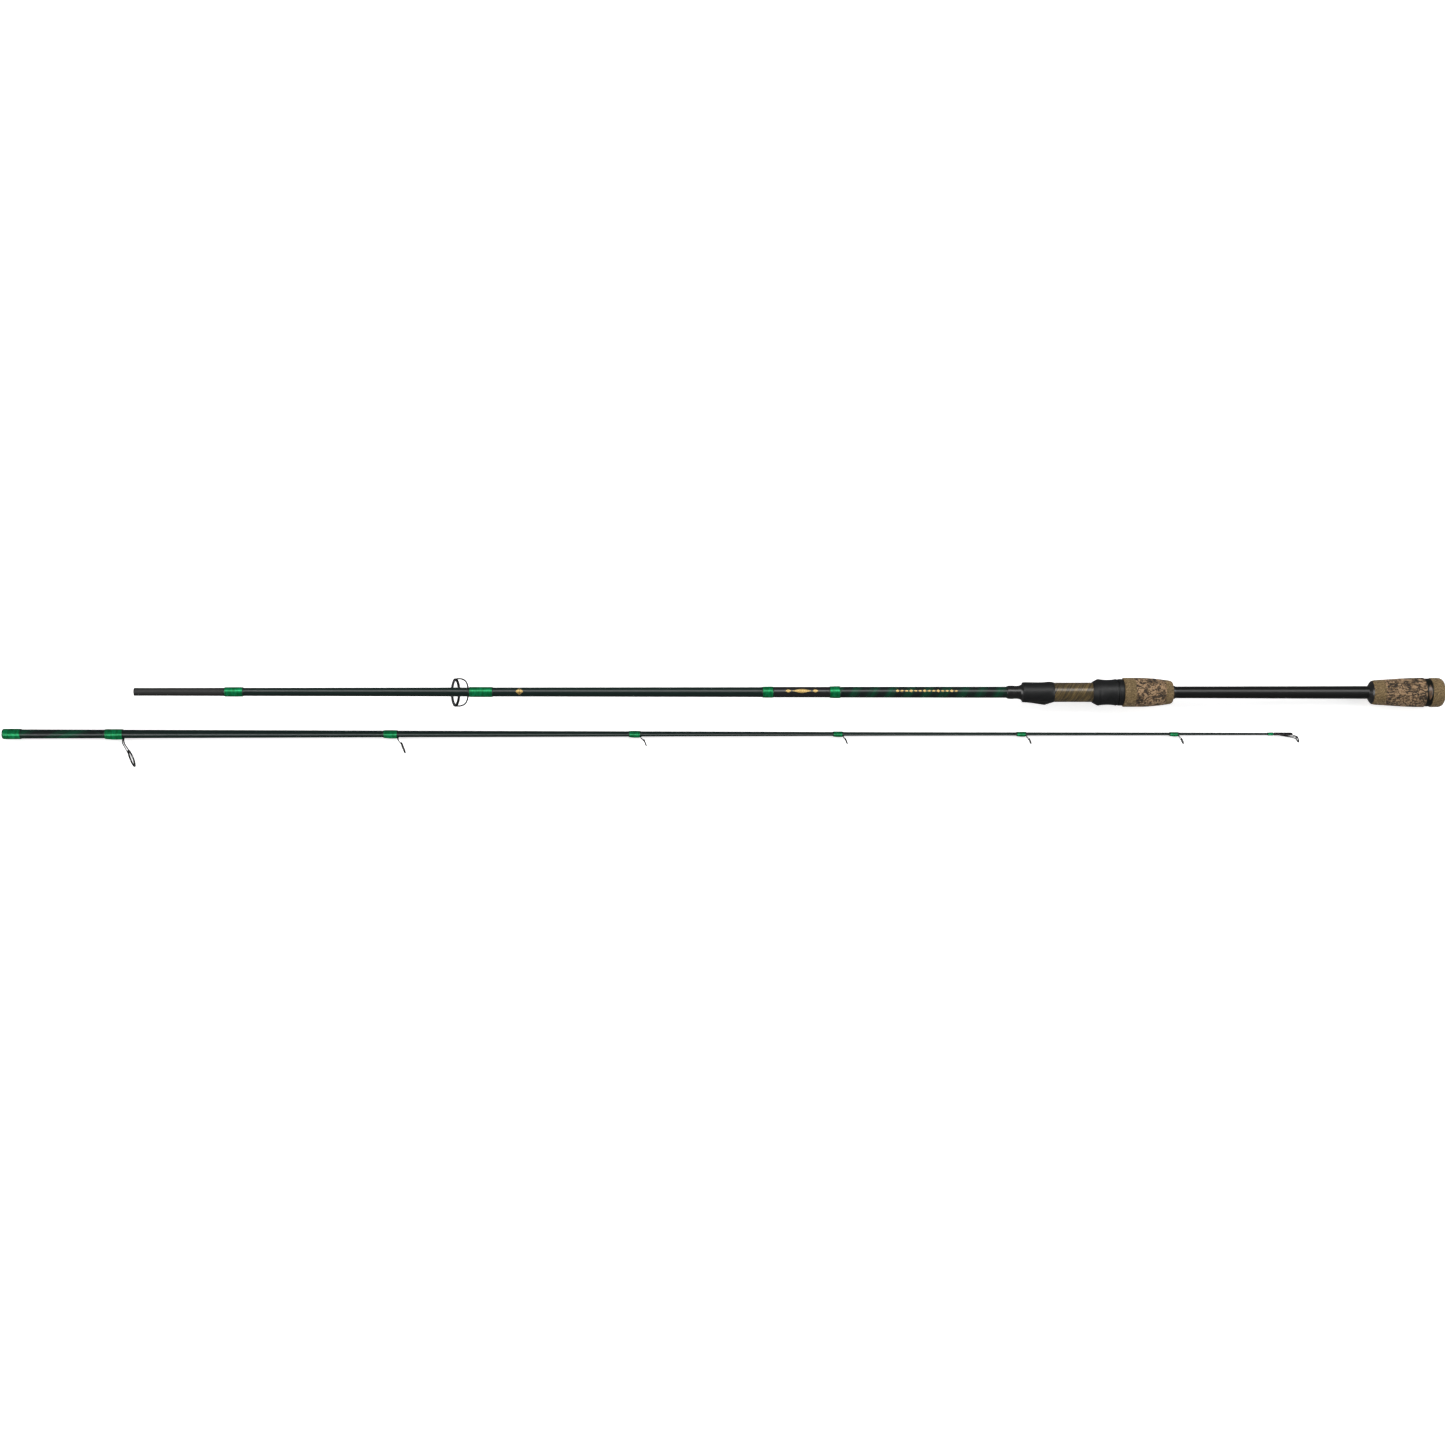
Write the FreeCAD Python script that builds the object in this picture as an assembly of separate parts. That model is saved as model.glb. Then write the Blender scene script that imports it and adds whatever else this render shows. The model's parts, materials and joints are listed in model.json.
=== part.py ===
import FreeCAD, Part
import math
import os

# Two-piece spinning rod, taken apart, lying on a flat surface. Millimetres.
#
# Each section is designed in its own frame, with x along its axis and its guides towards -Z:
#   butt section: x = 0 at the open end of the male ferrule, growing towards the handle
#   tip section:  x = 0 at the mouth of the female ferrule, growing towards the tip-top
# Both are then laid side by side in the part's frame: Z up, floor at Z = 0, handle at +X.

# ---- butt blank: (distance from the ferrule end, diameter) ----
BUTT_STATIONS = [(0.0, 6.7), (0.5, 6.9), (78.4, 7.18), (95.5, 7.2), (267.8, 7.9), (320.0, 8.05),
                 (531.0, 8.8), (555.0, 8.95), (609.6, 9.1), (619.0, 9.64), (768.0, 9.97),
                 (919.0, 10.44), (1090.6, 11.42), (1150.0, 11.6)]
BUTT_LENGTH = 1150.0
FERRULE_BORE_R = 2.5
FERRULE_BORE_DEPTH = 110.0
HANDLE_BORE_R = 4.3
PLUG_START = 0.6
PLUG_LENGTH = 14.0
PLUG_CLEARANCE = 0.06

# ---- thread windings and trim on the butt blank: start, end, thickness of thread and resin ----
FERRULE_WINDING = (78.4, 95.5, 0.62)
TRIM_FRONT = (550.0, 560.6, 0.5)
LABEL_SLEEVE = (560.6, 609.6, 0.16)
TRIM_REAR = (609.6, 619.8, 0.55)

# ---- reel seat ----
PIPE_R = 8.65
PIPE_WALL = 1.4
PIPE_START = 782.0
PIPE_END = 843.4
BARREL_END = 869.5
THREAD_PITCH = 1.5
THREAD_DEPTH = 0.7
THREAD_CREST_R = 8.6
CHECK_START = 767.2
HOOD_START = 781.0
HOOD_END = 809.0
MOVING_HOOD_START = 843.4
MOVING_HOOD_END = 848.8
SKIRT_R = 9.9
SKIRT_LENGTH = 6.5
NUT_END = 865.4
RUNNING_GAP = 0.08
HOOD_TRAVEL = 12.0
POCKET_HALF_WIDTH = 6.6
POCKET_FLOOR = 8.65
POCKET_ROOF = 13.9
HOOD_ROOF = 15.2
FIXED_POCKET_START = 793.0
MOVING_POCKET_END = 847.9
BUSHING_STATIONS = [(782.4, 790.0), (810.0, 818.0), (848.0, 868.0)]

# ---- handle ----
COLLAR_END = 870.9
COLLAR_R = 11.82
FORE_GRIP_END = 915.0
GRIP_CHECK_END = 917.2
CONE_START = 1090.6
BUTT_GRIP_START = 1094.0
BUTT_GRIP_END = 1140.8
RING_END = 1146.3
RING_R = 12.5
CAP_END = 1158.6
CAP_R = 13.05
CAP_CORNER = (5.0, 5.6)
BUTTON_END = 1160.4
BUTTON_R = 4.75
INLAY_HALF_ANGLE = 36.0
INLAY_DEPTH = 0.35
INLAY_MARGIN = 0.7

# ---- tip blank: (distance from the mouth, diameter) ----
TIP_STATIONS = [(0.0, 8.35), (17.0, 8.3), (91.0, 7.87), (124.7, 7.6), (249.9, 6.75), (339.4, 6.05),
                (402.0, 5.75), (509.3, 5.1), (577.2, 4.66), (679.2, 4.1), (768.6, 3.4),
                (893.8, 2.95), (1036.8, 2.55), (1117.3, 2.15), (1139.0, 2.05), (1154.0, 2.0)]
TIP_LENGTH = 1154.0
SEATED_DEPTH = 74.0
FERRULE_CLEARANCE = 0.05
BLANK_WALL = 0.95
TIP_HOLLOW_END = 577.2
SOCKET_WINDING = (0.0, 17.0, 0.5)

# ---- guides: winding start and end, ring centre, ring outside diameter, height over the axis ----
BUTT_GUIDE = (291.8, 313.3, 277.8, 25.5, 32.0)
TIP_GUIDES = [(91.2, 108.2, 116.3, 16.5, 22.1),
              (340.7, 354.1, 359.0, 10.8, 12.5),
              (560.7, 571.7, 575.6, 6.8, 7.95),
              (743.5, 753.4, 755.9, 5.7, 6.55),
              (908.1, 917.7, 920.6, 5.8, 6.45),
              (1045.3, 1054.3, 1057.1, 5.8, 6.35)]
GUIDE_LEAN = 21.0
THREAD_COVER = 0.45
TIP_TOP_WINDING = (1133.4, 1139.4, 0.32)
TIP_TOP_TUBE = (1139.7, 1156.2, 1.32)
TIP_TOP_RING_X = 1160.4
TIP_TOP_HEIGHT = 4.65
TIP_TOP_OD = 6.5
TIP_TOP_LEAN = 19.0

# ---- how the two sections lie ----
BUTT_AXIS_Y = 26.8
TIP_AXIS_Y = -10.3
TIP_MOUTH_BEHIND_FERRULE = 130.0

AXIS = FreeCAD.Vector(1, 0, 0)
ORIGIN = FreeCAD.Vector(0, 0, 0)


def vec(x, y, z):
    return FreeCAD.Vector(x, y, z)


def lathe(profile):
    """Revolve a closed outline of (x, radius) points about the X axis."""
    points = [vec(x, 0, r) for x, r in profile]
    points.append(points[0])
    return Part.Face(Part.makePolygon(points)).revolve(ORIGIN, AXIS, 360)


def tube(start, end, inner, outer):
    return lathe([(start, inner), (end, inner), (end, outer), (start, outer)])


def box(low, high):
    size = [high[i] - low[i] for i in range(3)]
    return Part.makeBox(size[0], size[1], size[2], vec(*low))


def radius_at(stations, x):
    """Radius of a tapered blank at distance x."""
    for (x0, d0), (x1, d1) in zip(stations, stations[1:]):
        if x <= x1:
            return 0.5 * (d0 + (d1 - d0) * (x - x0) / (x1 - x0))
    return 0.5 * stations[-1][1]


def solid_blank(stations):
    """The blank's outside as a full solid, for cutting what is glued on it."""
    outline = [(x, 0.5 * d) for x, d in stations]
    return lathe(outline + [(stations[-1][0], 0), (stations[0][0], 0)])


def arc_tube(start, end, end_tangent, radius):
    """A round bar along the circle arc that leaves start and meets end along end_tangent."""
    chord = start - end
    along = end_tangent * chord.dot(end_tangent)
    side = chord - along
    side.normalize()
    bend = chord.dot(chord) / (2 * chord.dot(side))
    centre = end + side * bend
    spoke_end = end - centre
    spoke_start = start - centre
    normal = spoke_start.cross(spoke_end)
    angle = math.degrees(spoke_start.getAngle(spoke_end))
    section = Part.Face(Part.Wire(Part.makeCircle(radius, start, normal.cross(spoke_start))))
    return section.revolve(centre, normal, angle)


def winding(start, end, thickness, stations, outside, offset=0.0):
    """A thread winding with tapered resin ends. offset shifts it towards -Z, over a guide foot."""
    taper = 0.6
    r = max(radius_at(stations, start), radius_at(stations, end)) + thickness
    edge = r - 0.5 * (thickness - offset)
    body = lathe([(start, 0), (end, 0), (end, edge), (end - taper, r), (start + taper, r), (start, edge)])
    body.translate(vec(0, 0, -offset))
    return body.cut(outside)


def guide_sizes(diameter):
    return {"hoop": 0.35 + 0.035 * diameter,
            "ring": 0.35 + 0.035 * diameter,
            "width": 0.5 + 0.045 * diameter,
            "leg": 0.5 * (0.35 + 0.045 * diameter),
            "foot_thick": 0.4 + 0.02 * diameter,
            "foot_wide": 0.5 + 0.09 * diameter}


def ring_placement(x, height, lean, towards_tip):
    """Places a ring made about the X axis at its centre, leaning towards the tip."""
    rotation = FreeCAD.Rotation(vec(0, 1, 0), -towards_tip * lean)
    return FreeCAD.Placement(vec(x, 0, -height), rotation)


def hoop_and_ring(diameter, place):
    """The metal hoop, the ceramic ring in it, and the round space they enclose."""
    size = guide_sizes(diameter)
    outer = 0.5 * diameter
    seat = outer - size["hoop"]
    bore = seat - size["ring"]
    half = 0.5 * size["width"]
    lip = 1.3 * half
    land = 0.7 * half
    edge = 0.25 * size["hoop"]
    hoop = lathe([(-half, seat), (half, seat), (half, outer - edge), (half - edge, outer),
                  (-half + edge, outer), (-half, outer - edge)])
    ring = lathe([(-half, seat), (half, seat), (lip, seat - 0.2 * size["ring"]),
                  (lip, bore + 0.45 * size["ring"]), (land, bore), (-land, bore),
                  (-lip, bore + 0.45 * size["ring"]), (-lip, seat - 0.2 * size["ring"])])
    eye = lathe([(-outer, 0), (outer, 0), (outer, seat), (-outer, seat)])
    for shape in (hoop, ring, eye):
        shape.Placement = place
    return hoop, ring, eye


def guide(spec, stations, outside, towards_tip):
    """Frame, ceramic ring and winding of one single-foot guide."""
    wind_start, wind_end, ring_x, diameter, height = spec
    size = guide_sizes(diameter)
    place = ring_placement(ring_x, height, GUIDE_LEAN, towards_tip)
    hoop, ring, eye = hoop_and_ring(diameter, place)
    neck = wind_end if towards_tip > 0 else wind_start
    neck += towards_tip * 0.06 * diameter
    tail = wind_start + 1.0 if towards_tip > 0 else wind_end - 1.0
    surface = radius_at(stations, neck)
    low = max(radius_at(stations, wind_start), radius_at(stations, wind_end)) + size["foot_thick"]
    half_foot = 0.5 * size["foot_wide"]
    foot = box((min(neck, tail), -half_foot, -low), (max(neck, tail), half_foot, -0.8 * surface))
    foot = foot.cut(outside)
    away = place.Rotation.multVec(vec(0, 0, -1))
    side = 0.5 * (diameter - size["hoop"])
    legs = []
    for hand in (-1, 1):
        start = vec(neck - towards_tip * size["leg"], hand * (half_foot - size["leg"]),
                    -(low - 0.5 * size["foot_thick"]))
        end = place.multVec(vec(0, hand * side, 0))
        legs.append(arc_tube(start, end, away, size["leg"]))
    frame = foot.multiFuse([hoop] + [leg.cut(eye) for leg in legs])
    frame = frame.cut(outside)
    lift = 0.5 * size["foot_thick"]
    wrap = winding(wind_start, wind_end, THREAD_COVER + lift, stations, outside, lift)
    return frame, ring, wrap.cut(frame)


def tip_top(stations, outside):
    """Tube, legs and hoop of the tip-top as one frame, with its ring and winding."""
    size = guide_sizes(TIP_TOP_OD)
    place = ring_placement(TIP_TOP_RING_X, TIP_TOP_HEIGHT, TIP_TOP_LEAN, 1)
    hoop, ring, eye = hoop_and_ring(TIP_TOP_OD, place)
    start, end, tube_r = TIP_TOP_TUBE
    sleeve = lathe([(start, 0), (end, 0), (end, 0.7 * tube_r), (end - 0.6, tube_r),
                    (start + 0.4, tube_r), (start, 0.9 * tube_r)])
    away = place.Rotation.multVec(vec(0, 0, -1))
    side = 0.5 * (TIP_TOP_OD - size["hoop"])
    legs = []
    for hand in (-1, 1):
        root = vec(start + 7.0, hand * 0.7, -0.8 * tube_r)
        legs.append(arc_tube(root, place.multVec(vec(0, hand * side, 0)), away, size["leg"]))
    crown = place.multVec(vec(0, 0, side))
    bridge_root = vec(end - 1.2, 0, -0.6 * tube_r)
    reach = crown - bridge_root
    bridge = Part.makeCylinder(size["leg"], reach.Length, bridge_root, reach)
    frame = sleeve.multiFuse([hoop] + [bar.cut(eye) for bar in [bridge] + legs])
    frame = frame.cut(outside)
    wrap_start, wrap_end, thickness = TIP_TOP_WINDING
    wrap = winding(wrap_start, wrap_end, thickness, stations, outside)
    return frame, ring, wrap


def butt_blank():
    outside = [(x, 0.5 * d) for x, d in BUTT_STATIONS]
    inside = [(BUTT_LENGTH, HANDLE_BORE_R), (FERRULE_BORE_DEPTH, FERRULE_BORE_R), (0, FERRULE_BORE_R)]
    return lathe(outside + inside)


def ferrule_plug():
    r = FERRULE_BORE_R - PLUG_CLEARANCE
    end = PLUG_START + PLUG_LENGTH
    return lathe([(PLUG_START, 0), (end, 0), (end, r - 0.4), (end - 0.4, r),
                  (PLUG_START + 0.3, r), (PLUG_START, r - 0.3)])


def winding_check(outside):
    """Black trim piece with a waist, flaring into the fixed hood."""
    outline = [(CHECK_START, 5.35), (769.2, 5.8), (772.4, 5.95), (775.6, 5.8), (778.4, 6.2),
               (HOOD_START, 7.3)]
    return lathe(outline + [(HOOD_START, 0), (CHECK_START, 0)]).cut(outside)


def hood_lobe():
    """The reel side of the fixed hood: a faceted lobe that rises towards the open end."""
    sections = [(HOOD_START + 0.6, [(-4.2, 7.0), (-8.3, -0.5), (-7.2, -4.2), (-4.0, -7.6),
                                    (4.0, -7.6), (7.2, -4.2), (8.0, 0.0)]),
                (801.5, [(-4.9, 7.5), (-11.3, -1.5), (-10.8, -8.5), (-7.8, -HOOD_ROOF),
                         (7.8, -HOOD_ROOF), (9.0, -8.5), (8.4, 0.0)]),
                (HOOD_END - 0.4, [(-4.4, 7.0), (-8.9, -1.5), (-9.0, -8.5), (-7.8, -HOOD_ROOF),
                                  (7.8, -HOOD_ROOF), (8.8, -8.5), (8.2, 0.0)])]
    wires = []
    for x, corners in sections:
        points = [vec(x, y, z) for y, z in corners]
        wires.append(Part.makePolygon(points + [points[0]]))
    return Part.makeLoft(wires, True, True)


def pocket(start, end):
    return box((start, -POCKET_HALF_WIDTH, -POCKET_ROOF), (end, POCKET_HALF_WIDTH, -0.5 * POCKET_FLOOR))


def fixed_hood():
    shell = lathe([(HOOD_START, 0), (HOOD_START, 8.5), (HOOD_START + 0.6, 8.95), (788.0, 9.0),
                   (796.0, 8.85), (801.0, 9.05), (804.6, 9.45), (807.0, 9.3), (HOOD_END, 8.8), (HOOD_END, 0)])
    shell = shell.fuse(hood_lobe())
    shell = shell.cut(Part.makeCylinder(PIPE_R, 100, vec(PIPE_START, 0, 0), AXIS))
    shell = shell.cut(Part.makeCylinder(6.0, 10, vec(HOOD_START - 5, 0, 0), AXIS))
    return shell.cut(pocket(FIXED_POCKET_START, HOOD_END + 1))


def threaded_barrel():
    """The threaded end of the seat pipe. The thread is drawn as rings of the real pitch."""
    root = THREAD_CREST_R - THREAD_DEPTH
    outline = [(PIPE_END, root)]
    count = int((BARREL_END - PIPE_END - 1.0) / THREAD_PITCH)
    for turn in range(count):
        x = PIPE_END + 0.5 + turn * THREAD_PITCH
        outline.append((x, root))
        outline.append((x + 0.35 * THREAD_PITCH, THREAD_CREST_R))
        outline.append((x + 0.6 * THREAD_PITCH, THREAD_CREST_R))
        outline.append((x + 0.95 * THREAD_PITCH, root))
    outline.append((BARREL_END, root))
    inner = PIPE_R - PIPE_WALL
    return lathe(outline + [(BARREL_END, inner), (PIPE_END, inner)])


def moving_hood():
    """Sliding hood: a flared lip, a lobe over the reel foot and a skirt held inside the nut."""
    inner = PIPE_R + RUNNING_GAP
    skirt_end = MOVING_HOOD_END + SKIRT_LENGTH
    lip = lathe([(MOVING_HOOD_START, 0), (MOVING_HOOD_START, 9.2), (MOVING_HOOD_START + 0.4, 9.6),
                 (847.4, 11.5), (848.2, 11.8), (MOVING_HOOD_END, 11.8), (MOVING_HOOD_END, SKIRT_R),
                 (skirt_end, SKIRT_R), (skirt_end, 0)])
    lobe = box((MOVING_HOOD_START, -POCKET_HALF_WIDTH - 1.2, -HOOD_ROOF),
               (MOVING_HOOD_END, POCKET_HALF_WIDTH + 1.2, 0))
    crest = Part.makeCylinder(HOOD_ROOF, MOVING_HOOD_END - MOVING_HOOD_START,
                              vec(MOVING_HOOD_START, 0, 0), AXIS)
    hood = lip.fuse(lobe.common(crest))
    hood = hood.cut(Part.makeCylinder(inner, 40, vec(MOVING_HOOD_START - 5, 0, 0), AXIS))
    return hood.cut(pocket(MOVING_HOOD_START - 1, MOVING_POCKET_END))


def locking_nut():
    """Nut with a waist, its plain bore clearing the thread crests, and a socket for the skirt."""
    bore = THREAD_CREST_R + RUNNING_GAP
    socket = SKIRT_R + RUNNING_GAP
    shoulder = MOVING_HOOD_END + SKIRT_LENGTH + RUNNING_GAP
    start = MOVING_HOOD_END + RUNNING_GAP
    end = NUT_END - RUNNING_GAP
    return lathe([(start, socket), (start, 11.8), (start + 0.4, 11.8), (852.4, 11.3), (857.0, 11.1),
                  (861.6, 11.3), (864.4, 11.8), (end, 11.6), (end, bore), (shoulder, bore),
                  (shoulder, socket)])


def seat_bushings(outside):
    rings = [tube(a, b, 0, PIPE_R - PIPE_WALL).cut(outside) for a, b in BUSHING_STATIONS]
    return Part.makeCompound(rings)


def seat_collar(outside):
    """Collar between the nut and the fore grip, glued over the end of the barrel."""
    body = lathe([(NUT_END, 0), (NUT_END, COLLAR_R - 0.3), (NUT_END + 0.3, COLLAR_R),
                  (COLLAR_END, COLLAR_R), (COLLAR_END, 0)])
    inner = tube(NUT_END - 1, BARREL_END, 0, THREAD_CREST_R)
    return body.cut(inner).cut(outside)


def fore_grip(outside):
    outline = [(COLLAR_END, 12.85), (COLLAR_END + 0.4, 12.95), (884.0, 12.95), (893.6, 12.7),
               (900.0, 12.2), (906.0, 11.5), (911.0, 10.8), (913.6, 10.1), (914.7, 9.3),
               (FORE_GRIP_END, 8.4)]
    return lathe(outline + [(FORE_GRIP_END, 0), (COLLAR_END, 0)]).cut(outside)


def butt_cone(outside):
    outline = [(CONE_START, 5.9), (CONE_START + 0.6, 6.3), (BUTT_GRIP_START - 0.3, 10.3),
               (BUTT_GRIP_START, 10.35)]
    return lathe(outline + [(BUTT_GRIP_START, 0), (CONE_START, 0)]).cut(outside)


def butt_grip(outside):
    outline = [(BUTT_GRIP_START, 10.35), (BUTT_GRIP_START + 0.6, 10.7), (1100.0, 11.2), (1110.8, 11.8),
               (1121.6, 12.55), (1132.4, 13.0), (BUTT_GRIP_END - 1.0, 13.1), (BUTT_GRIP_END, 12.8)]
    return lathe(outline + [(BUTT_GRIP_END, 0), (BUTT_GRIP_START, 0)]).cut(outside)


def ring_inlay():
    """Thin curved plate let into the upper side of the dark ring."""
    half = math.radians(INLAY_HALF_ANGLE)
    start = BUTT_GRIP_END + INLAY_MARGIN
    width = RING_END - BUTT_GRIP_END - 2 * INLAY_MARGIN
    inner = RING_R - INLAY_DEPTH
    begin = vec(start, inner * math.sin(-half), inner * math.cos(half))
    edge = Part.makeLine(begin, begin + vec(0, math.sin(-half), math.cos(half)) * INLAY_DEPTH)
    side = edge.extrude(vec(width, 0, 0))
    return side.revolve(ORIGIN, AXIS, -2 * INLAY_HALF_ANGLE)


def butt_ring(outside):
    body = lathe([(BUTT_GRIP_END, 0), (BUTT_GRIP_END, RING_R - 0.2), (BUTT_GRIP_END + 0.3, RING_R),
                  (RING_END - 0.3, RING_R), (RING_END, RING_R - 0.2), (RING_END, 0)])
    return body.cut(outside).cut(ring_inlay())


def butt_cap(outside):
    """Cork cap with a rounded end and a seat for the end button."""
    length, drop = CAP_CORNER
    corner = [(CAP_END - length * (1 - math.sin(a)), CAP_R - drop * (1 - math.cos(a)))
              for a in (math.radians(15 * k) for k in range(7))]
    outline = [(RING_END, CAP_R - 0.25), (RING_END + 0.3, CAP_R)] + corner
    body = lathe(outline + [(CAP_END, 0), (RING_END, 0)])
    return body.cut(outside).cut(button_stem())


def button_stem():
    return tube(BUTT_LENGTH - 20.0, CAP_END, 0, HANDLE_BORE_R - 0.02)


def butt_button():
    head = lathe([(CAP_END, 0), (CAP_END, BUTTON_R), (CAP_END + 0.9, BUTTON_R),
                  (BUTTON_END, BUTTON_R - 0.9), (BUTTON_END, 0)])
    return head.fuse(button_stem())


def tip_blank():
    """Tip blank with the ferrule socket in its thick end."""
    outside = [(x, 0.5 * d) for x, d in TIP_STATIONS]
    mouth = radius_at(BUTT_STATIONS, SEATED_DEPTH) + FERRULE_CLEARANCE
    seat = radius_at(BUTT_STATIONS, 0.5) + FERRULE_CLEARANCE
    bottom = SEATED_DEPTH + 6.0
    thin = [(x, 0.5 * d - BLANK_WALL) for x, d in TIP_STATIONS if bottom + 5 < x <= TIP_HOLLOW_END]
    inside = [(0, mouth), (SEATED_DEPTH, seat), (bottom, seat)] + thin
    inside.append((TIP_HOLLOW_END + 60.0, 0.0))
    return lathe(outside + [(TIP_LENGTH, 0)] + inside[::-1])


def butt_section():
    outside = solid_blank(BUTT_STATIONS)
    bare = BUTT_STATIONS
    nodes = {"butt_blank": butt_blank(), "ferrule_plug": ferrule_plug()}
    for name, spec in (("ferrule_winding", FERRULE_WINDING), ("trim_winding_front", TRIM_FRONT),
                       ("trim_winding_rear", TRIM_REAR)):
        nodes[name] = winding(*spec, bare, outside)
    start, end, thickness = LABEL_SLEEVE
    nodes["label_sleeve"] = tube(start, end, 0, radius_at(bare, end) + thickness).cut(outside)
    frame, ring, wrap = guide(BUTT_GUIDE, bare, outside, -1)
    nodes["butt_guide_frame"] = frame
    nodes["butt_guide_ring"] = ring
    nodes["butt_guide_winding"] = wrap
    nodes["winding_check"] = winding_check(outside)
    nodes["fixed_hood"] = fixed_hood()
    nodes["seat_pipe"] = tube(PIPE_START, PIPE_END, PIPE_R - PIPE_WALL, PIPE_R)
    nodes["threaded_barrel"] = threaded_barrel()
    nodes["seat_bushings"] = seat_bushings(outside)
    nodes["moving_hood"] = moving_hood()
    nodes["locking_nut"] = locking_nut()
    nodes["seat_collar"] = seat_collar(outside)
    nodes["fore_grip"] = fore_grip(outside)
    nodes["grip_check"] = tube(FORE_GRIP_END, GRIP_CHECK_END, 0, 5.85).cut(outside)
    nodes["butt_cone"] = butt_cone(outside)
    nodes["butt_grip"] = butt_grip(outside)
    nodes["butt_ring"] = butt_ring(outside)
    nodes["ring_inlay"] = ring_inlay()
    nodes["butt_cap"] = butt_cap(outside)
    nodes["butt_button"] = butt_button()
    return nodes


def tip_section():
    outside = solid_blank(TIP_STATIONS)
    nodes = {"tip_blank": tip_blank()}
    nodes["socket_winding"] = winding(*SOCKET_WINDING, TIP_STATIONS, outside)
    for number, spec in enumerate(TIP_GUIDES, 1):
        frame, ring, wrap = guide(spec, TIP_STATIONS, outside, 1)
        nodes["guide_%d_frame" % number] = frame
        nodes["guide_%d_ring" % number] = ring
        nodes["guide_%d_winding" % number] = wrap
    frame, ring, wrap = tip_top(TIP_STATIONS, outside)
    nodes["tip_top_frame"] = frame
    nodes["tip_top_ring"] = ring
    nodes["tip_top_winding"] = wrap
    return nodes


def butt_placement():
    """The butt section rests on the rim of its guide and the rear of its cap."""
    ring_x, diameter, height = BUTT_GUIDE[2:]
    lean = math.radians(GUIDE_LEAN)
    foot_x = ring_x - 0.5 * diameter * math.sin(lean)
    foot_depth = height + 0.5 * diameter * math.cos(lean)
    rear_x = CAP_END - 6.0
    pitch = math.atan2(foot_depth - CAP_R, rear_x - foot_x)
    rise = CAP_R / math.cos(pitch) + rear_x * math.tan(pitch)
    rotation = FreeCAD.Rotation(vec(0, 1, 0), math.degrees(pitch))
    return FreeCAD.Placement(vec(0, BUTT_AXIS_Y, rise), rotation)


def tip_placement():
    """The tip section lies on its mouth, the rim of its first guide and the tip-top ring."""
    mouth_r = radius_at(TIP_STATIONS, 17.0) + SOCKET_WINDING[2]
    ring_x, diameter, height = TIP_GUIDES[0][2:]
    roll = 0.0
    drop = 0.0
    for _ in range(6):
        axis_z = mouth_r - drop * ring_x / TIP_TOP_RING_X
        roll = math.asin((0.5 * diameter - axis_z) / height)
        drop = mouth_r - (0.5 * TIP_TOP_OD - TIP_TOP_HEIGHT * math.sin(roll))
    pitch = math.degrees(math.atan2(drop, TIP_TOP_RING_X))
    turn = FreeCAD.Rotation(vec(1, 0, 0), -90.0 - math.degrees(roll))
    rotation = FreeCAD.Rotation(vec(0, 1, 0), pitch).multiply(turn)
    return FreeCAD.Placement(vec(-TIP_MOUTH_BEHIND_FERRULE, TIP_AXIS_Y, mouth_r), rotation)


def laid_out():
    """Both sections in the part's frame, with the origin under the middle of their box."""
    places = {"butt": butt_placement(), "tip": tip_placement()}
    sections = {"butt": butt_section(), "tip": tip_section()}
    total = FreeCAD.BoundBox()
    for name, nodes in sections.items():
        for shape in nodes.values():
            shape.Placement = places[name].multiply(shape.Placement)
            total.add(shape.optimalBoundingBox(False, False))
    shift = vec(-total.Center.x, -total.Center.y, -total.ZMin)
    for name, nodes in sections.items():
        places[name].move(shift)
        for shape in nodes.values():
            shape.translate(shift)
    return places, sections


def write_nodes(sections):
    os.makedirs("parts", exist_ok=True)
    for nodes in sections.values():
        for name, shape in nodes.items():
            solids = len(shape.Solids)
            print("%-22s solids %d valid %s volume %.1f" % (name, solids, shape.isValid(), shape.Volume))
            shape.exportStep("parts/%s.step" % name)


PLACES, SECTIONS = laid_out()
write_nodes(SECTIONS)
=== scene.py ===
import itertools
import json
import math

import bpy
from mathutils import Matrix, Vector

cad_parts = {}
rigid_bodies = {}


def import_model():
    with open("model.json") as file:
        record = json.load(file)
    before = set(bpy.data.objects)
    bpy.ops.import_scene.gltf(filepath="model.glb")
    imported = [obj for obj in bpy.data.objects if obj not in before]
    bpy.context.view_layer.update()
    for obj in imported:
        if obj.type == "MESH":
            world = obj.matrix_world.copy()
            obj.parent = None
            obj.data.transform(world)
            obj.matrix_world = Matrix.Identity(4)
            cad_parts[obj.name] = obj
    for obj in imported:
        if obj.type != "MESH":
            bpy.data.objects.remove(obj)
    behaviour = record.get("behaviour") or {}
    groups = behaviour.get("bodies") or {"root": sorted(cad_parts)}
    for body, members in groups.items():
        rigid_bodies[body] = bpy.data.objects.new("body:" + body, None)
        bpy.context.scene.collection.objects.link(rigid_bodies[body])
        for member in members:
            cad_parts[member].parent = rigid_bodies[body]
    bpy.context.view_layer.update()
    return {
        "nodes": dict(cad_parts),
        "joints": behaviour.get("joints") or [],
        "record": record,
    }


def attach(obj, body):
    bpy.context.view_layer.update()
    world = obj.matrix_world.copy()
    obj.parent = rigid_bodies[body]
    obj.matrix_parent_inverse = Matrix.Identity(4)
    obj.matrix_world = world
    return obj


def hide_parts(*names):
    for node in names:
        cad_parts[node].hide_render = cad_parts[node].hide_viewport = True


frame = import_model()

# A two-piece spinning rod, taken apart and laid flat. The pieces of each section are drawn in that
# section's own frame, in millimetres: x runs along its axis, and its guides point to -z.

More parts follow.
